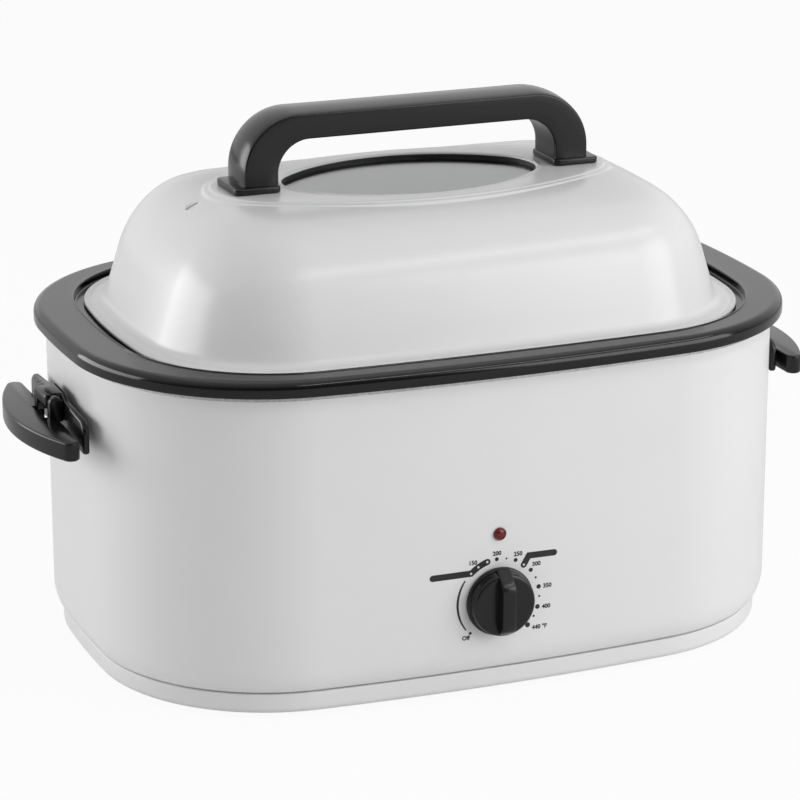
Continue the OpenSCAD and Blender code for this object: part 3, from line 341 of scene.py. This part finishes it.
# Zinc-plated steel, tumbled: bright grey, slightly uneven
zinc = plain_finish("zinc_plated_steel", "C9CACC", 1.2, 0.01, 0.3, 1.0, "A9ABAD")
dress(zinc, "foot_screws", "tie_strap", "tie_bolt", "thermostat_bracket", "thermostat_screws",
      "bracket_screws", "grip_pins", "shaft_clip", "thermostat_shaft", "retainer_screws", "window_retainer",
      "lid_handle_screws", "lid_handle_washers")
# Mica-wrapped resistance band: flaky amber
dress(plain_finish("mica_heating_band", "9C8459", 3, 0.05, 0.45, 0.2, "6E5B3B"), "heating_band")
# Glass wool, needled: matt yellow fibres, drawn 1.5 mm coarse so that they show
dress(plain_finish("needled_glass_wool", "D9CB97", 1.5, 0.8, 0.95, darker="B3A26B"), "insulation_blanket")
# Steatite ceramic, pressed and fired: matt cream
dress(plain_finish("fired_steatite", "DDD8C8", 0.5, 0.02, 0.6, darker="CFC9B7"),
      "thermostat", "terminal_block", "pilot_lamp")
# Braided glass sleeve over the leads: rust red
dress(plain_finish("braided_lead_sleeve", "8A2A20", 0.6, 0.08, 0.7, darker="5E1A14"), "lead_wires")


# ---- Side handles ----
# At each end a bracket of phenolic plastic is screwed to the casing: a wide plate with a block in its middle.
# A D-shaped grip stands off it, clasps the block with two ears and is pinned through them.
def slab(name, outline, axis, first, last):
    """A flat outline drawn out into a slab: along z for (x, y), along x for (y, z), along y for (x, z)"""
    lift = {"z": lambda p, d: (p[0], p[1], d), "x": lambda p, d: (d, p[0], p[1]),
            "y": lambda p, d: (p[0], d, p[1])}[axis]
    piece = start_piece(name, len(outline))
    settle(piece, [lift(p, first) for p in outline])
    bpy.ops.mesh.edge_face_add()
    bpy.ops.mesh.extrude_region()
    settle(piece, [lift(p, last) for p in outline])
    return piece


def joined(name, pieces):
    """Several finished shells made one piece"""
    bpy.ops.object.select_all(action="DESELECT")
    for piece in pieces:
        piece.select_set(True)
    bpy.context.view_layer.objects.active = pieces[0]
    bpy.ops.object.join()
    pieces[0].name = pieces[0].data.name = name
    return pieces[0]


def other_end(piece, name):
    """The same piece turned half round to the other end of the oven"""
    bpy.ops.object.select_all(action="DESELECT")
    piece.select_set(True)
    bpy.context.view_layer.objects.active = piece
    bpy.ops.object.duplicate()
    copy = bpy.context.object
    copy.name = copy.data.name = name
    bpy.ops.object.mode_set(mode="EDIT")
    bpy.ops.mesh.select_all(action="SELECT")
    bpy.ops.transform.rotate(value=math.pi, orient_axis="Z", center_override=(0, SHIFT * MM, 0))
    bpy.ops.object.mode_set(mode="OBJECT")
    return copy


edge_x, reach_x, grip_half, upper_z, lower_z = 275, 304, 78, 192, 178
tip, pin_x, pin_z, ear_r = 6, 275.9, 202.5, 5
hub_x, hub_y = edge_x + tip, grip_half - tip
span = reach_x - hub_x
arc_r = (hub_y ** 2 + span ** 2 - tip ** 2) / (2 * (span - tip))
arc_x = reach_x - arc_r
flare = math.degrees(math.atan2(hub_y, hub_x - arc_x))
d_shape = bend(hub_x, -hub_y, tip, -180, -flare, 12) + bend(arc_x, 0, arc_r, -flare, flare, 28)[1:-1]
d_shape += bend(hub_x, hub_y, tip, flare, 180, 12)
d_shape += [(edge_x, 13.5), (283.5, 13.5), (283.5, -13.5), (edge_x, -13.5)]
plate = slab("grip_plate", d_shape, "z", lower_z, upper_z)
finish_piece(plate, soft=1.6, steps=4)
shells = [plate]
for side in (-1, 1):
    ear = [(pin_x - ear_r, 189), (pin_x + ear_r, 189)] + bend(pin_x, pin_z, ear_r, 0, 180, 12)
    piece = slab("grip_ear", ear, "y", side * 13.2, side * 20.2)
    finish_piece(piece, soft=1.0, steps=3, angle=50)
    shells.append(piece)
grip_right = joined("side_grip_east", shells)

half_plate = [(66, 178), (66, 195), (65, 198), (60, 201.5), (24, 203.5), (19, 204), (17, 205.5), (13, 208)]
plate = slab("bracket_plate", [(-66, 178)] + half_plate + [(-y, z) for y, z in reversed(half_plate[1:])],
             "x", 265.5, 270.5)
finish_piece(plate, soft=1.8, steps=4)
boss = slab("bracket_boss", [(-29, 180), (29, 180), (29, 198), (-29, 198)], "x", 261.7, 267)
finish_piece(boss, soft=0.6)
block = [(266, 197), (278, 197)] + bend(278, 201, 4, -90, 0, 6)
block += bend(279.5, 205.5, 2.5, 0, 90, 5) + [(266, 208)]
block = slab("bracket_block", block, "y", -13, 13)
finish_piece(block, soft=1.5, steps=4, angle=40)
bracket_right = joined("handle_bracket_east", [plate, boss, block])

# Phenolic resin, moulded with a satin sheen: near black, a faint grain of its filler, weak in reflection
phenolic = plain_finish("satin_moulded_phenolic", "171718", 0.9, 0.012, 0.2, darker="131314", ior=1.42)
grip_right.data.materials.append(phenolic)
bracket_right.data.materials.append(phenolic)
grip_left = other_end(grip_right, "side_grip_west")
bracket_left = other_end(bracket_right, "handle_bracket_west")
for piece, cad in ((grip_right, "side_grip_right"), (grip_left, "side_grip_left"),
                   (bracket_right, "handle_bracket_right"), (bracket_left, "handle_bracket_left")):
    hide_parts(cad)
    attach(piece, "casing")
dress(phenolic, "cord_gland")


# ---- Pilot lamp ----
# A round lens of red acetate snapped into the wall above the knob, with a turned rim and a darker middle.
def turned(name, section, cx, cz, front, corners=64):
    """A round piece on the front wall: its section is [radius, proud of the plane at front]"""
    piece = start_piece(name, corners)
    for i, (r, proud) in enumerate(section):
        if i:
            bpy.ops.mesh.extrude_region()
        settle(piece, [(cx + r * math.cos(2 * math.pi * k / corners), front - proud,
                        cz + r * math.sin(2 * math.pi * k / corners)) for k in range(corners)])
    bpy.ops.mesh.edge_face_add()
    return piece


lens_section = [(3.4, -7), (3.4, 0.1), (4.7, 0.1), (4.7, 1.1), (4.4, 1.5), (3.9, 1.6), (3.5, 1.3), (3.3, 1.5),
                (2.6, 2.0), (1.6, 2.25), (0.6, 2.3)]
lens = turned("pilot_lamp_lens", lens_section, -4, 122.2, -178.5)
finish_piece(lens, angle=50)
# Cellulose acetate, moulded: dark ruby that glows a little where light passes its rim
material, tree = new_material("moulded_ruby_acetate")
place = add_node(tree, "ShaderNodeTexCoord")
facets = add_node(tree, "ShaderNodeTexVoronoi", {}, {"Scale": 1 / (0.9 * MM)},
                  {"Vector": place.outputs["Object"]})
shade = add_node(tree, "ShaderNodeValToRGB", {}, {}, {0: facets.outputs["Distance"]})
shade.color_ramp.elements[0].color = linear("7A1A1F")
shade.color_ramp.elements[1].color = linear("5A1013")
skin = add_node(tree, "ShaderNodeBsdfPrincipled", {},
                {"Roughness": 0.12, "IOR": 1.48, "Transmission Weight": 0.15},
                {"Base Color": shade.outputs[0]})
add_node(tree, "ShaderNodeOutputMaterial", {}, {}, {"Surface": skin.outputs[0]})
lens.data.materials.append(material)
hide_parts("pilot_lens")
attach(lens, "casing")

# ---- Printed scale round the knob ----
# Black ink screened on the paint: a tapering arc, dots, two bars and plain temperatures. The ink lies on the
# wall's slight bow, and the bars carry only white dots.
KNOB_X, KNOB_Z = -4, 72.6
wall_arc = RIM[6]


def wall_y(x, proud):
    """Depth of the front wall at x, in millimetres, before the shift"""
    return wall_arc[1] - math.sqrt((wall_arc[2] + WALL_OUT + proud) ** 2 - x * x)


def on_wall(piece, proud, thick):
    """Lays a flat print on the wall and gives the ink its thickness"""
    bpy.ops.mesh.select_all(action="SELECT")
    mesh = bmesh.from_edit_mesh(piece.data)
    for v in mesh.verts:
        v.co.y = (wall_y(v.co.x / MM, proud) + SHIFT) * MM
    bmesh.update_edit_mesh(piece.data)
    bpy.ops.mesh.extrude_region()
    mesh = bmesh.from_edit_mesh(piece.data)
    for v in mesh.verts:
        if v.select:
            v.co.y = (wall_y(v.co.x / MM, proud + thick) + SHIFT) * MM
    bmesh.update_edit_mesh(piece.data)
    finish_piece(piece)


def clock(r, turn):
    """A place on the dial, by its distance from the axis and its turn clockwise from the top"""
    return KNOB_X + r * math.sin(math.radians(turn)), KNOB_Z + r * math.cos(math.radians(turn))


def flat_print(name, outline, proud=0.02, thick=0.05):
    """An outline printed on the wall"""
    piece = start_piece(name, len(outline))
    settle(piece, [(x, 0, z) for x, z in outline])
    bpy.ops.mesh.edge_face_add()
    on_wall(piece, proud, thick)
    return piece


def dot(name, place, r, proud=0.02):
    """A round dot printed on the wall"""
    outline = [(place[0] + r * math.cos(math.pi * k / 12), place[1] + r * math.sin(math.pi * k / 12))
               for k in range(24)]
    return flat_print(name, outline, proud)


def bar(name, path, r):
    """A bar of one width along a path of places on the wall, with round ends, and thick enough that
    its long faces stay clear of the wall's bow"""
    left, right = [], []
    for i, p in enumerate(path):
        back, fore = path[max(i - 1, 0)], path[min(i + 1, len(path) - 1)]
        one = Vector((p[0] - back[0], p[1] - back[1])) if i else Vector((fore[0] - p[0], fore[1] - p[1]))
        two = Vector((fore[0] - p[0], fore[1] - p[1])) if i < len(path) - 1 else one
        one.normalize()
        two.normalize()
        mean = (one + two).normalized()
        side = Vector((-mean.y, mean.x)) * (r / max(mean.dot(two), 0.5))
        left.append((p[0] + side.x, p[1] + side.y))
        right.append((p[0] - side.x, p[1] - side.y))

    def cap(p, q):
        """A round end at p, on the side of q"""
        a = math.atan2(q[1] - p[1], q[0] - p[0])
        return [(p[0] + r * math.cos(a + math.pi / 2 - math.pi * k / 10),
                 p[1] + r * math.sin(a + math.pi / 2 - math.pi * k / 10)) for k in range(11)]
    tail = cap(path[0], (2 * path[0][0] - path[1][0], 2 * path[0][1] - path[1][1]))
    head = cap(path[-1], (2 * path[-1][0] - path[-2][0], 2 * path[-1][1] - path[-2][1]))
    return flat_print(name, left[1:-1] + head + right[-2:0:-1] + tail, 0.02, 0.1)


def words(name, text, place, size):
    """Figures printed on the wall, centred on a place"""
    bpy.ops.object.select_all(action="DESELECT")
    bpy.ops.object.text_add(location=(place[0] * MM, 0, place[1] * MM), rotation=(math.pi / 2, 0, 0))
    piece = bpy.context.object
    piece.name = name
    piece.data.body = text
    piece.data.size = size * MM
    piece.data.align_x = "CENTER"
    piece.data.align_y = "CENTER"
    piece.data.offset = 0.18 * MM
    piece.data.resolution_u = 3
    bpy.ops.object.convert(target="MESH")
    bpy.ops.object.transform_apply(location=True, rotation=True, scale=True)
    bpy.ops.object.mode_set(mode="EDIT")
    bpy.ops.mesh.select_all(action="SELECT")
    bpy.ops.mesh.remove_doubles(threshold=0.005 * MM)
    on_wall(piece, 0.02, 0.05)
    return piece


ring_r, white_turns = 31.2, (-43.3, -30.6, -17.2)
ink = [dot("off_dot", clock(30.8, -135), 1.1)]
sweep = [(1 + 0.9 * math.sin(math.pi * k / 24) * (1 - 0.45 * k / 24), -55 - 72.6 * k / 24)
         for k in range(25)]
arc = [clock(31.4 + w / 2, a) for w, a in sweep] + [clock(31.4 - w / 2, a) for w, a in reversed(sweep)]
ink.append(flat_print("rising_arc", arc))
curve = [clock(ring_r, a) for a in (-43, -37, -30.6, -24, -17)]
ink.append(bar("left_bar", [clock(54.9, -65.6)] + curve, 2.35))
ink.append(bar("right_bar", [clock(30.5, 37.8), clock(37.8, 36.5), clock(51.7, 54.5)], 2.35))
for turn, r in ((-3.7, 1.45), (10.1, 0.75), (23.6, 1.5), (51.2, 1.6), (64.7, 0.8), (78.8, 1.7),
                (92.2, 0.8), (106.8, 1.8), (120.2, 0.85), (134.4, 1.9)):
    ink.append(dot("scale_dot", clock(31, turn), r))
for text, r, turn in (("150", 36.4, -33.4), ("200", 35.2, -3), ("250", 35.7, 23.6),
                      ("300", 36.8, 50.5), ("350", 37.6, 80.9), ("400", 37.7, 104.7),
                      ("440 °F", 39.7, 127.8), ("Off", 35.5, -135)):
    ink.append(words("figures", text, clock(r, turn), 4.35))
scale = joined("printed_scale", ink)
dots = joined("printed_white_dots",
              [dot("white_dot", clock(ring_r, turn), 0.85, 0.12) for turn in white_turns]
              + [dot("white_dot", clock(30.5, 37.8), 0.85, 0.12)])
# Screen ink, baked: flat black film, and the paint's white where the bars are left open
black_ink = plain_finish("baked_black_screen_ink", "1B1B1C", 0.7, 0.004, 0.5, darker="161617")
open_white = plain_finish("bare_white_in_the_print", "DFDFE0", 0.7, 0.004, 0.5, darker="DADADB")
for piece, made in ((scale, black_ink), (dots, open_white)):
    piece.data.materials.append(made)
    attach(piece, "casing")

# ---- Knob ----
# Phenolic plastic knob pressed on the thermostat's flatted shaft: a stepped skirt, a domed rim and a thick
# grip bar whose upper end hangs over the rim as the pointer.
back_y = -179.1
body_section = [(21, 0), (25, 0), (25, 2.2), (24.6, 2.9), (23.9, 3.2), (23.5, 3.4), (23.3, 4.2), (23.2, 8.6),
                (22.9, 9.8), (22.2, 10.6), (21.2, 11), (19, 11.1), (12, 11.1), (5, 11.1)]
body = turned("knob_body", body_section, KNOB_X, KNOB_Z, back_y, 96)
finish_piece(body, angle=40)
side = [(-21.5, 10), (-20.5, 13.5), (-18.6, 16.8), (-16.5, 18.6), (-14, 19.4), (12, 19.4), (14.8, 19.1),
        (17, 18), (20.5, 13.5), (24, 9.2), (26.2, 6.8), (26.5, 5.8), (26.3, 4.6), (24, 4.5), (19, 6)]
outline = [(back_y - out, KNOB_Z + up) for up, out in side]
pointer = slab("knob_pointer", outline, "x", KNOB_X - 5, KNOB_X + 5)
finish_piece(pointer, soft=2.2, steps=4, angle=40)
knob = joined("control_knob", [body, pointer])
# The same phenolic in a finer mould: a shade paler, with a finer grain
knob.data.materials.append(plain_finish("satin_moulded_knob_phenolic", "181819", 0.9, 0.01, 0.22,
                                        darker="141415", ior=1.42))
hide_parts("knob")
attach(knob, "control")

# ---- Lift-out roasting pan ----
# One drawing of steel, black enamelled and speckled. Its flat rim has a ledge for the lid and a small bead
# round the recess, and its outer edge is rolled down in a band that hangs over the casing.
RECESS = oblong(239, 165.5, 114, 0.05, 0.025)
band = [(-11, 238.3), (-4, 238.3)] + bend(-1, 239.3, 1, -90, 0, 4) + [(0, 241.5)]
band += bend(-6, 244, 6, 0, 90, 10)
pan_rings = [ring(RIM, x, z) for x, z in band]
outer, inner = ring(RIM, -7, 250), ring(RECESS, 2.6, 250)
pan_rings += [outer, between(outer, inner, 0.33), between(outer, inner, 0.67), inner]
lean = math.degrees(math.atan2(7, 183.2))
bead = [(1.7, 250.05)] + bend(0.8, 250, 0.8, 30, 180, 6)
ledge = bend(-1.4, 246.6, 1.4, 0, -90, 5) + [(-6, 245.2)] + bend(-14.4, 242.7, 2.5, 90, 182, 5)
well = [(-18.6, 200), (-20.4, 150), (-22.3, 100)] + bend(-47, 86, 23.1, lean, -90, 10)
well += [(-60, 62.9), (-90, 62.9)]
pan_rings += [ring(RECESS, x, z) for x, z in bead + ledge + well]
pan = carried("enamelled_roasting_pan", pan_rings)
bpy.ops.mesh.edge_face_add()
finish_piece(pan, sheet=0.9)
# Vitreous black enamel, fired: glassy over a slight waviness, with faint specks drawn 0.8 mm coarse to show
material, tree = new_material("fired_black_speckled_enamel")
place = add_node(tree, "ShaderNodeTexCoord")
specks = add_node(tree, "ShaderNodeTexVoronoi", {}, {"Scale": 1 / (1.9 * MM), "Randomness": 1},
                  {"Vector": place.outputs["Object"]})
pick = add_node(tree, "ShaderNodeValToRGB", {}, {}, {0: specks.outputs["Distance"]})
pick.color_ramp.elements[0].position = 0.1
pick.color_ramp.elements[0].color = linear("2C2C2E")
pick.color_ramp.elements[1].position = 0.22
pick.color_ramp.elements[1].color = linear("0E0E0F")
waves = add_node(tree, "ShaderNodeTexNoise", {}, {"Scale": 1 / (2.4 * MM), "Detail": 2},
                 {"Vector": place.outputs["Object"]})
bump = add_node(tree, "ShaderNodeBump", {}, {"Strength": 0.35, "Distance": 0.04 * MM},
                {"Height": waves.outputs[0]})
skin = add_node(tree, "ShaderNodeBsdfPrincipled", {}, {"Roughness": 0.12, "IOR": 1.42},
                {"Base Color": pick.outputs[0], "Normal": bump.outputs[0]})
add_node(tree, "ShaderNodeOutputMaterial", {}, {}, {"Surface": skin.outputs[0]})
pan.data.materials.append(material)
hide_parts("roasting_pan")
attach(pan, "pan")

# ---- Rack ----
# Welded steel wire rack on short feet that lies on the pan's floor, nickel plated.
# Bright nickel over drawn wire: mirror-like with a little bloom from handling
dress(plain_finish("nickel_plated_wire", "D2D0CB", 2.5, 0.01, 0.16, 1.0, "BDBBB5"), "wire_rack")

# ---- Lid ----
# One deep drawing of steel under glossy white enamel: a rolled edge, a flat flange, a leaning wall, a broad
# shoulder and a crown with an embossed oval, pierced for the window.
LID = oblong(231.5, 163.2, 110, 0.05, 0.025)


def oval(half_wide, h, u):
    """Four tangent arcs of an oval, in the same form as the oblong's"""
    end_r, r = half_wide - h * u, half_wide - h * u + h * (1 + u * u) / (2 * u)
    first = 90 - 2 * math.degrees(math.atan(u))
    return [[h, 0, end_r, -first, 2 * first], [0, half_wide - r, r, first, 180 - 2 * first],
            [-h, 0, end_r, 180 - first, 2 * first], [0, r - half_wide, r, 180 + first, 180 - 2 * first]]


EMBOSS = oval(76, 100, 0.25)
WINDOW = oval(60, 60, 0.4)
seat_z, flange_z, draft, shoulder_z, shoulder_r = 245.5, 247.6, 14.5, 292, 58
slope, crown_r, rise = 20, 110, 1.5
foot_in = 15 + (shoulder_z - flange_z) * math.tan(math.radians(draft))
hub = (-foot_in - shoulder_r * math.cos(math.radians(draft)),
       shoulder_z - shoulder_r * math.sin(math.radians(draft)))
knee_in = foot_in + shoulder_r * (math.cos(math.radians(draft)) - math.sin(math.radians(slope)))
crown_in = knee_in + crown_r * math.sin(math.radians(slope))
crown_z = (shoulder_z + shoulder_r * (math.cos(math.radians(slope)) - math.sin(math.radians(draft)))
           + crown_r * (1 - math.cos(math.radians(slope))))
top_z = crown_z + rise


def depth_in(x, y):
    """How far a place lies in from the lid's edge"""
    best = 1e9
    for cx, cy, radius, first, sweep in LID:
        turn = math.degrees(math.atan2(y - cy, x - cx))
        if (turn - first) % 360 <= sweep:
            best = min(best, radius - math.hypot(x - cx, y - cy))
    return best


def crown_at(x, y):
    """Height of the crown before its emboss"""
    d = min(depth_in(x, y), crown_in)
    a = math.asin(min(max((crown_in - d) / crown_r, 0), 1))
    return crown_z - crown_r * (1 - math.cos(a))


def eased(x, y, z):
    """The crown falls off past 146 mm from the middle on a radius of 120 mm, and the wall less and less"""
    past = max(abs(x) - 146, 0)
    share = min(max((z - flange_z - 10) / (crown_z - flange_z - 10), 0), 1)
    return x, y, z - share * past ** 2 / (2 * 120)


dome = bend(-1.5, seat_z + 1.5, 1.5, -90, 110, 9)
dome += [(x, flange_z + up) for x, up in (
    (-3.4, 0), (-4.7, 0), (-5.3, 0.25), (-5.9, 0.8), (-6.6, 1), (-10, 1), (-11.2, 1.15), (-12.5, 1.5),
    (-13.8, 2.2), (-14.9, 3.2), (-15.7, 4.4), (-16.2, 5.6), (-18.7, 15), (-21.6, 26), (-24.7, 38))]
dome += bend(*hub, shoulder_r, draft, 90 - slope, 16)
lid_rings = [ring(LID, x, z) for x, z in dome]
knee = lid_rings[-1]
foot = ring(EMBOSS, 7, 0)
for share in (0.2, 0.4, 0.6, 0.8, 1):
    lid_rings.append([(x, y, crown_at(x, y)) for x, y, z in between(knee, foot, share)])
for out, share in ((5.4, 0), (4.6, 0.1), (3.9, 0.4), (3.2, 0.52), (0.6, 0.52), (-0.2, 0.6), (-1, 0.92),
                   (-1.8, 1), (-5, 1), (-9, 1)):
    step = ring(EMBOSS, out, 0)
    lid_rings.append([(x, y, crown_at(x, y) + share * (top_z - crown_at(x, y))) for x, y, z in step])
inner, pane = ring(EMBOSS, -10, top_z), ring(WINDOW, 5.5, top_z)
lid_rings += [inner, between(inner, pane, 0.5), pane]
for out, up in ((4.2, 0), (3.6, 0.3), (2.8, 0.5), (2, 0.45), (1.3, 0.1), (0.9, -0.5), (0.8, -1)):
    lid_rings.append(ring(WINDOW, out, top_z + up))
lid = carried("enamelled_lid", [[eased(*p) for p in points] for points in lid_rings])
finish_piece(lid, sheet=0.9)
# A steam slot is pierced near each end
for slot_x in (-166, 166):
    ends = bend(slot_x + 3.6, 0, 1.2, -90, 90, 6) + bend(slot_x - 3.6, 0, 1.2, 90, 270, 6)
    punch = slab("steam_slot_punch", ends, "z", 325, 345)
    finish_piece(punch)
    bpy.ops.object.select_all(action="DESELECT")
    lid.select_set(True)
    bpy.context.view_layer.objects.active = lid
    bpy.ops.object.modifier_add(type="BOOLEAN")
    lid.modifiers[-1].object = punch
    lid.modifiers[-1].operation = "DIFFERENCE"
    bpy.ops.object.modifier_apply(modifier=lid.modifiers[-1].name)
    lid.select_set(False)
    punch.select_set(True)
    bpy.ops.object.delete()
# Vitreous white enamel, fired: glassy, with a long slow waviness left by the dipping
material, tree = new_material("fired_glossy_white_enamel")
place = add_node(tree, "ShaderNodeTexCoord")
waves = add_node(tree, "ShaderNodeTexNoise", {}, {"Scale": 1 / (14 * MM), "Detail": 1},
                 {"Vector": place.outputs["Object"]})
bump = add_node(tree, "ShaderNodeBump", {}, {"Strength": 0.12, "Distance": 0.2 * MM},
                {"Height": waves.outputs[0]})
cloud = add_node(tree, "ShaderNodeTexNoise", {}, {"Scale": 1 / (143 * MM), "Detail": 2},
                 {"Vector": place.outputs["Object"]})
shade = add_node(tree, "ShaderNodeValToRGB", {}, {}, {0: cloud.outputs[0]})
shade.color_ramp.elements[0].position = 0.3
shade.color_ramp.elements[0].color = linear("E3E3E4")
shade.color_ramp.elements[1].position = 0.7
shade.color_ramp.elements[1].color = linear("E5E5E6")
skin = add_node(tree, "ShaderNodeBsdfPrincipled", {}, {"Roughness": 0.27, "IOR": 1.5},
                {"Base Color": shade.outputs[0], "Normal": bump.outputs[0]})
add_node(tree, "ShaderNodeOutputMaterial", {}, {}, {"Surface": skin.outputs[0]})
lid.data.materials.append(material)
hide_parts("lid_shell")
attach(lid, "lid")

# ---- Lid window ----
# Tempered glass held up against the lid by a black silicone channel gasket and a screwed steel ring.
# Silicone rubber, extruded: dull black
dress(plain_finish("extruded_silicone_gasket", "1D1D1E", 0.8, 0.02, 0.55, darker="171718"), "window_gasket")
# Soda-lime glass, tempered: clear with a grey-green body colour and a hard shine
material, tree = new_material("tempered_soda_lime_glass")
place = add_node(tree, "ShaderNodeTexCoord")
ripple = add_node(tree, "ShaderNodeTexNoise", {}, {"Scale": 1 / (30 * MM), "Detail": 1},
                  {"Vector": place.outputs["Object"]})
bump = add_node(tree, "ShaderNodeBump", {}, {"Strength": 0.05, "Distance": 0.2 * MM},
                {"Height": ripple.outputs[0]})
skin = add_node(tree, "ShaderNodeBsdfPrincipled", {},
                {"Roughness": 0.02, "IOR": 1.52, "Transmission Weight": 1.0, "Base Color": linear("C9CFCC")},
                {"Normal": bump.outputs[0]})
add_node(tree, "ShaderNodeOutputMaterial", {}, {}, {"Surface": skin.outputs[0]})
dress(material, "window_glass")

# ---- Lid handle ----
# A phenolic arch, moulded with a slightly bulging outer face, stands on two foot collars and is screwed on
# from inside the lid.
foot_z, grip_top = top_z + 5.05, top_z + 56.5
half, leg, thick, deep, bulge, edge_r = 134.5, 27, 20, 19, 2, 1.6
big_r = (deep ** 2 + bulge ** 2) / (2 * bulge)
edge_n = math.sqrt((big_r - edge_r) ** 2 - (deep - edge_r) ** 2) - big_r
spread = math.degrees(math.asin((deep - edge_r) / (big_r - edge_r)))


def grip_section(inner, outer):
    """The bar's section between its flat inner face and its bulging outer one, as one ring of points"""
    run = Vector(outer) - Vector(inner)
    size = run.length
    side = [(0, 8), (0, 15.5)] + [(n, y) for y, n in bend(deep - 1.2, 1.2, 1.2, -90, 0, 4)]
    side += [(size * 0.35, deep), (size * 0.6, deep)]
    side += [(size + edge_n + edge_r * math.sin(math.radians(a)),
              deep - edge_r + edge_r * math.cos(math.radians(a))) for a in (0, 18, 36, 54, 90 - spread)]
    side += [(size - big_r + big_r * math.cos(math.radians(a)), big_r * math.sin(math.radians(a)))
             for a in (0.75 * spread, 0.5 * spread, 0.25 * spread)]
    whole = [(0, 0)] + side + [(size, 0)] + [(n, -y) for n, y in reversed(side)]
    return [(inner[0] + run.x * n / size, y, inner[1] + run.y * n / size) for n, y in whole]


under, inner_r, outer_r = grip_top - thick, 24, 43
pairs = [((-half + leg, z), (-half, z)) for z in (foot_z, foot_z + 4)]
pairs += list(zip(bend(-half + leg + inner_r, under - inner_r, inner_r, 180, 90, 20),
                  bend(-half + outer_r, grip_top - outer_r, outer_r, 180, 90, 20)))
pairs += [((x, under), (x, grip_top)) for x in (-60, -30)]
pairs += [((0, under), (0, grip_top))] + [((-a[0], a[1]), (-b[0], b[1])) for a, b in reversed(pairs)]
handle = carried("lid_handle_arch", [grip_section(a, b) for a, b in pairs])
bpy.ops.mesh.select_all(action="SELECT")
bpy.ops.mesh.fill_holes(sides=0)
finish_piece(handle, angle=40)
handle.data.materials.append(phenolic)
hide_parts("lid_handle")
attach(handle, "lid")

collar_x, collar_r, collar_up = 123.5, 4.5, 5
for side, cad, name in ((-1, "collar_left", "foot_collar_west"), (1, "collar_right", "foot_collar_east")):
    corners = []
    for i, (cx, cy) in enumerate(((13, 17.5), (-13, 17.5), (-13, -17.5), (13, -17.5))):
        corners += [(side * collar_x + x, y) for x, y in bend(cx, cy, collar_r, 90 * i, 90 * i + 90, 8)]
    collar = slab(name, corners, "z", top_z, top_z + collar_up)
    finish_piece(collar, soft=1.3, steps=4, angle=50)
    collar.data.materials.append(phenolic)
    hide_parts(cad)
    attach(collar, "lid")
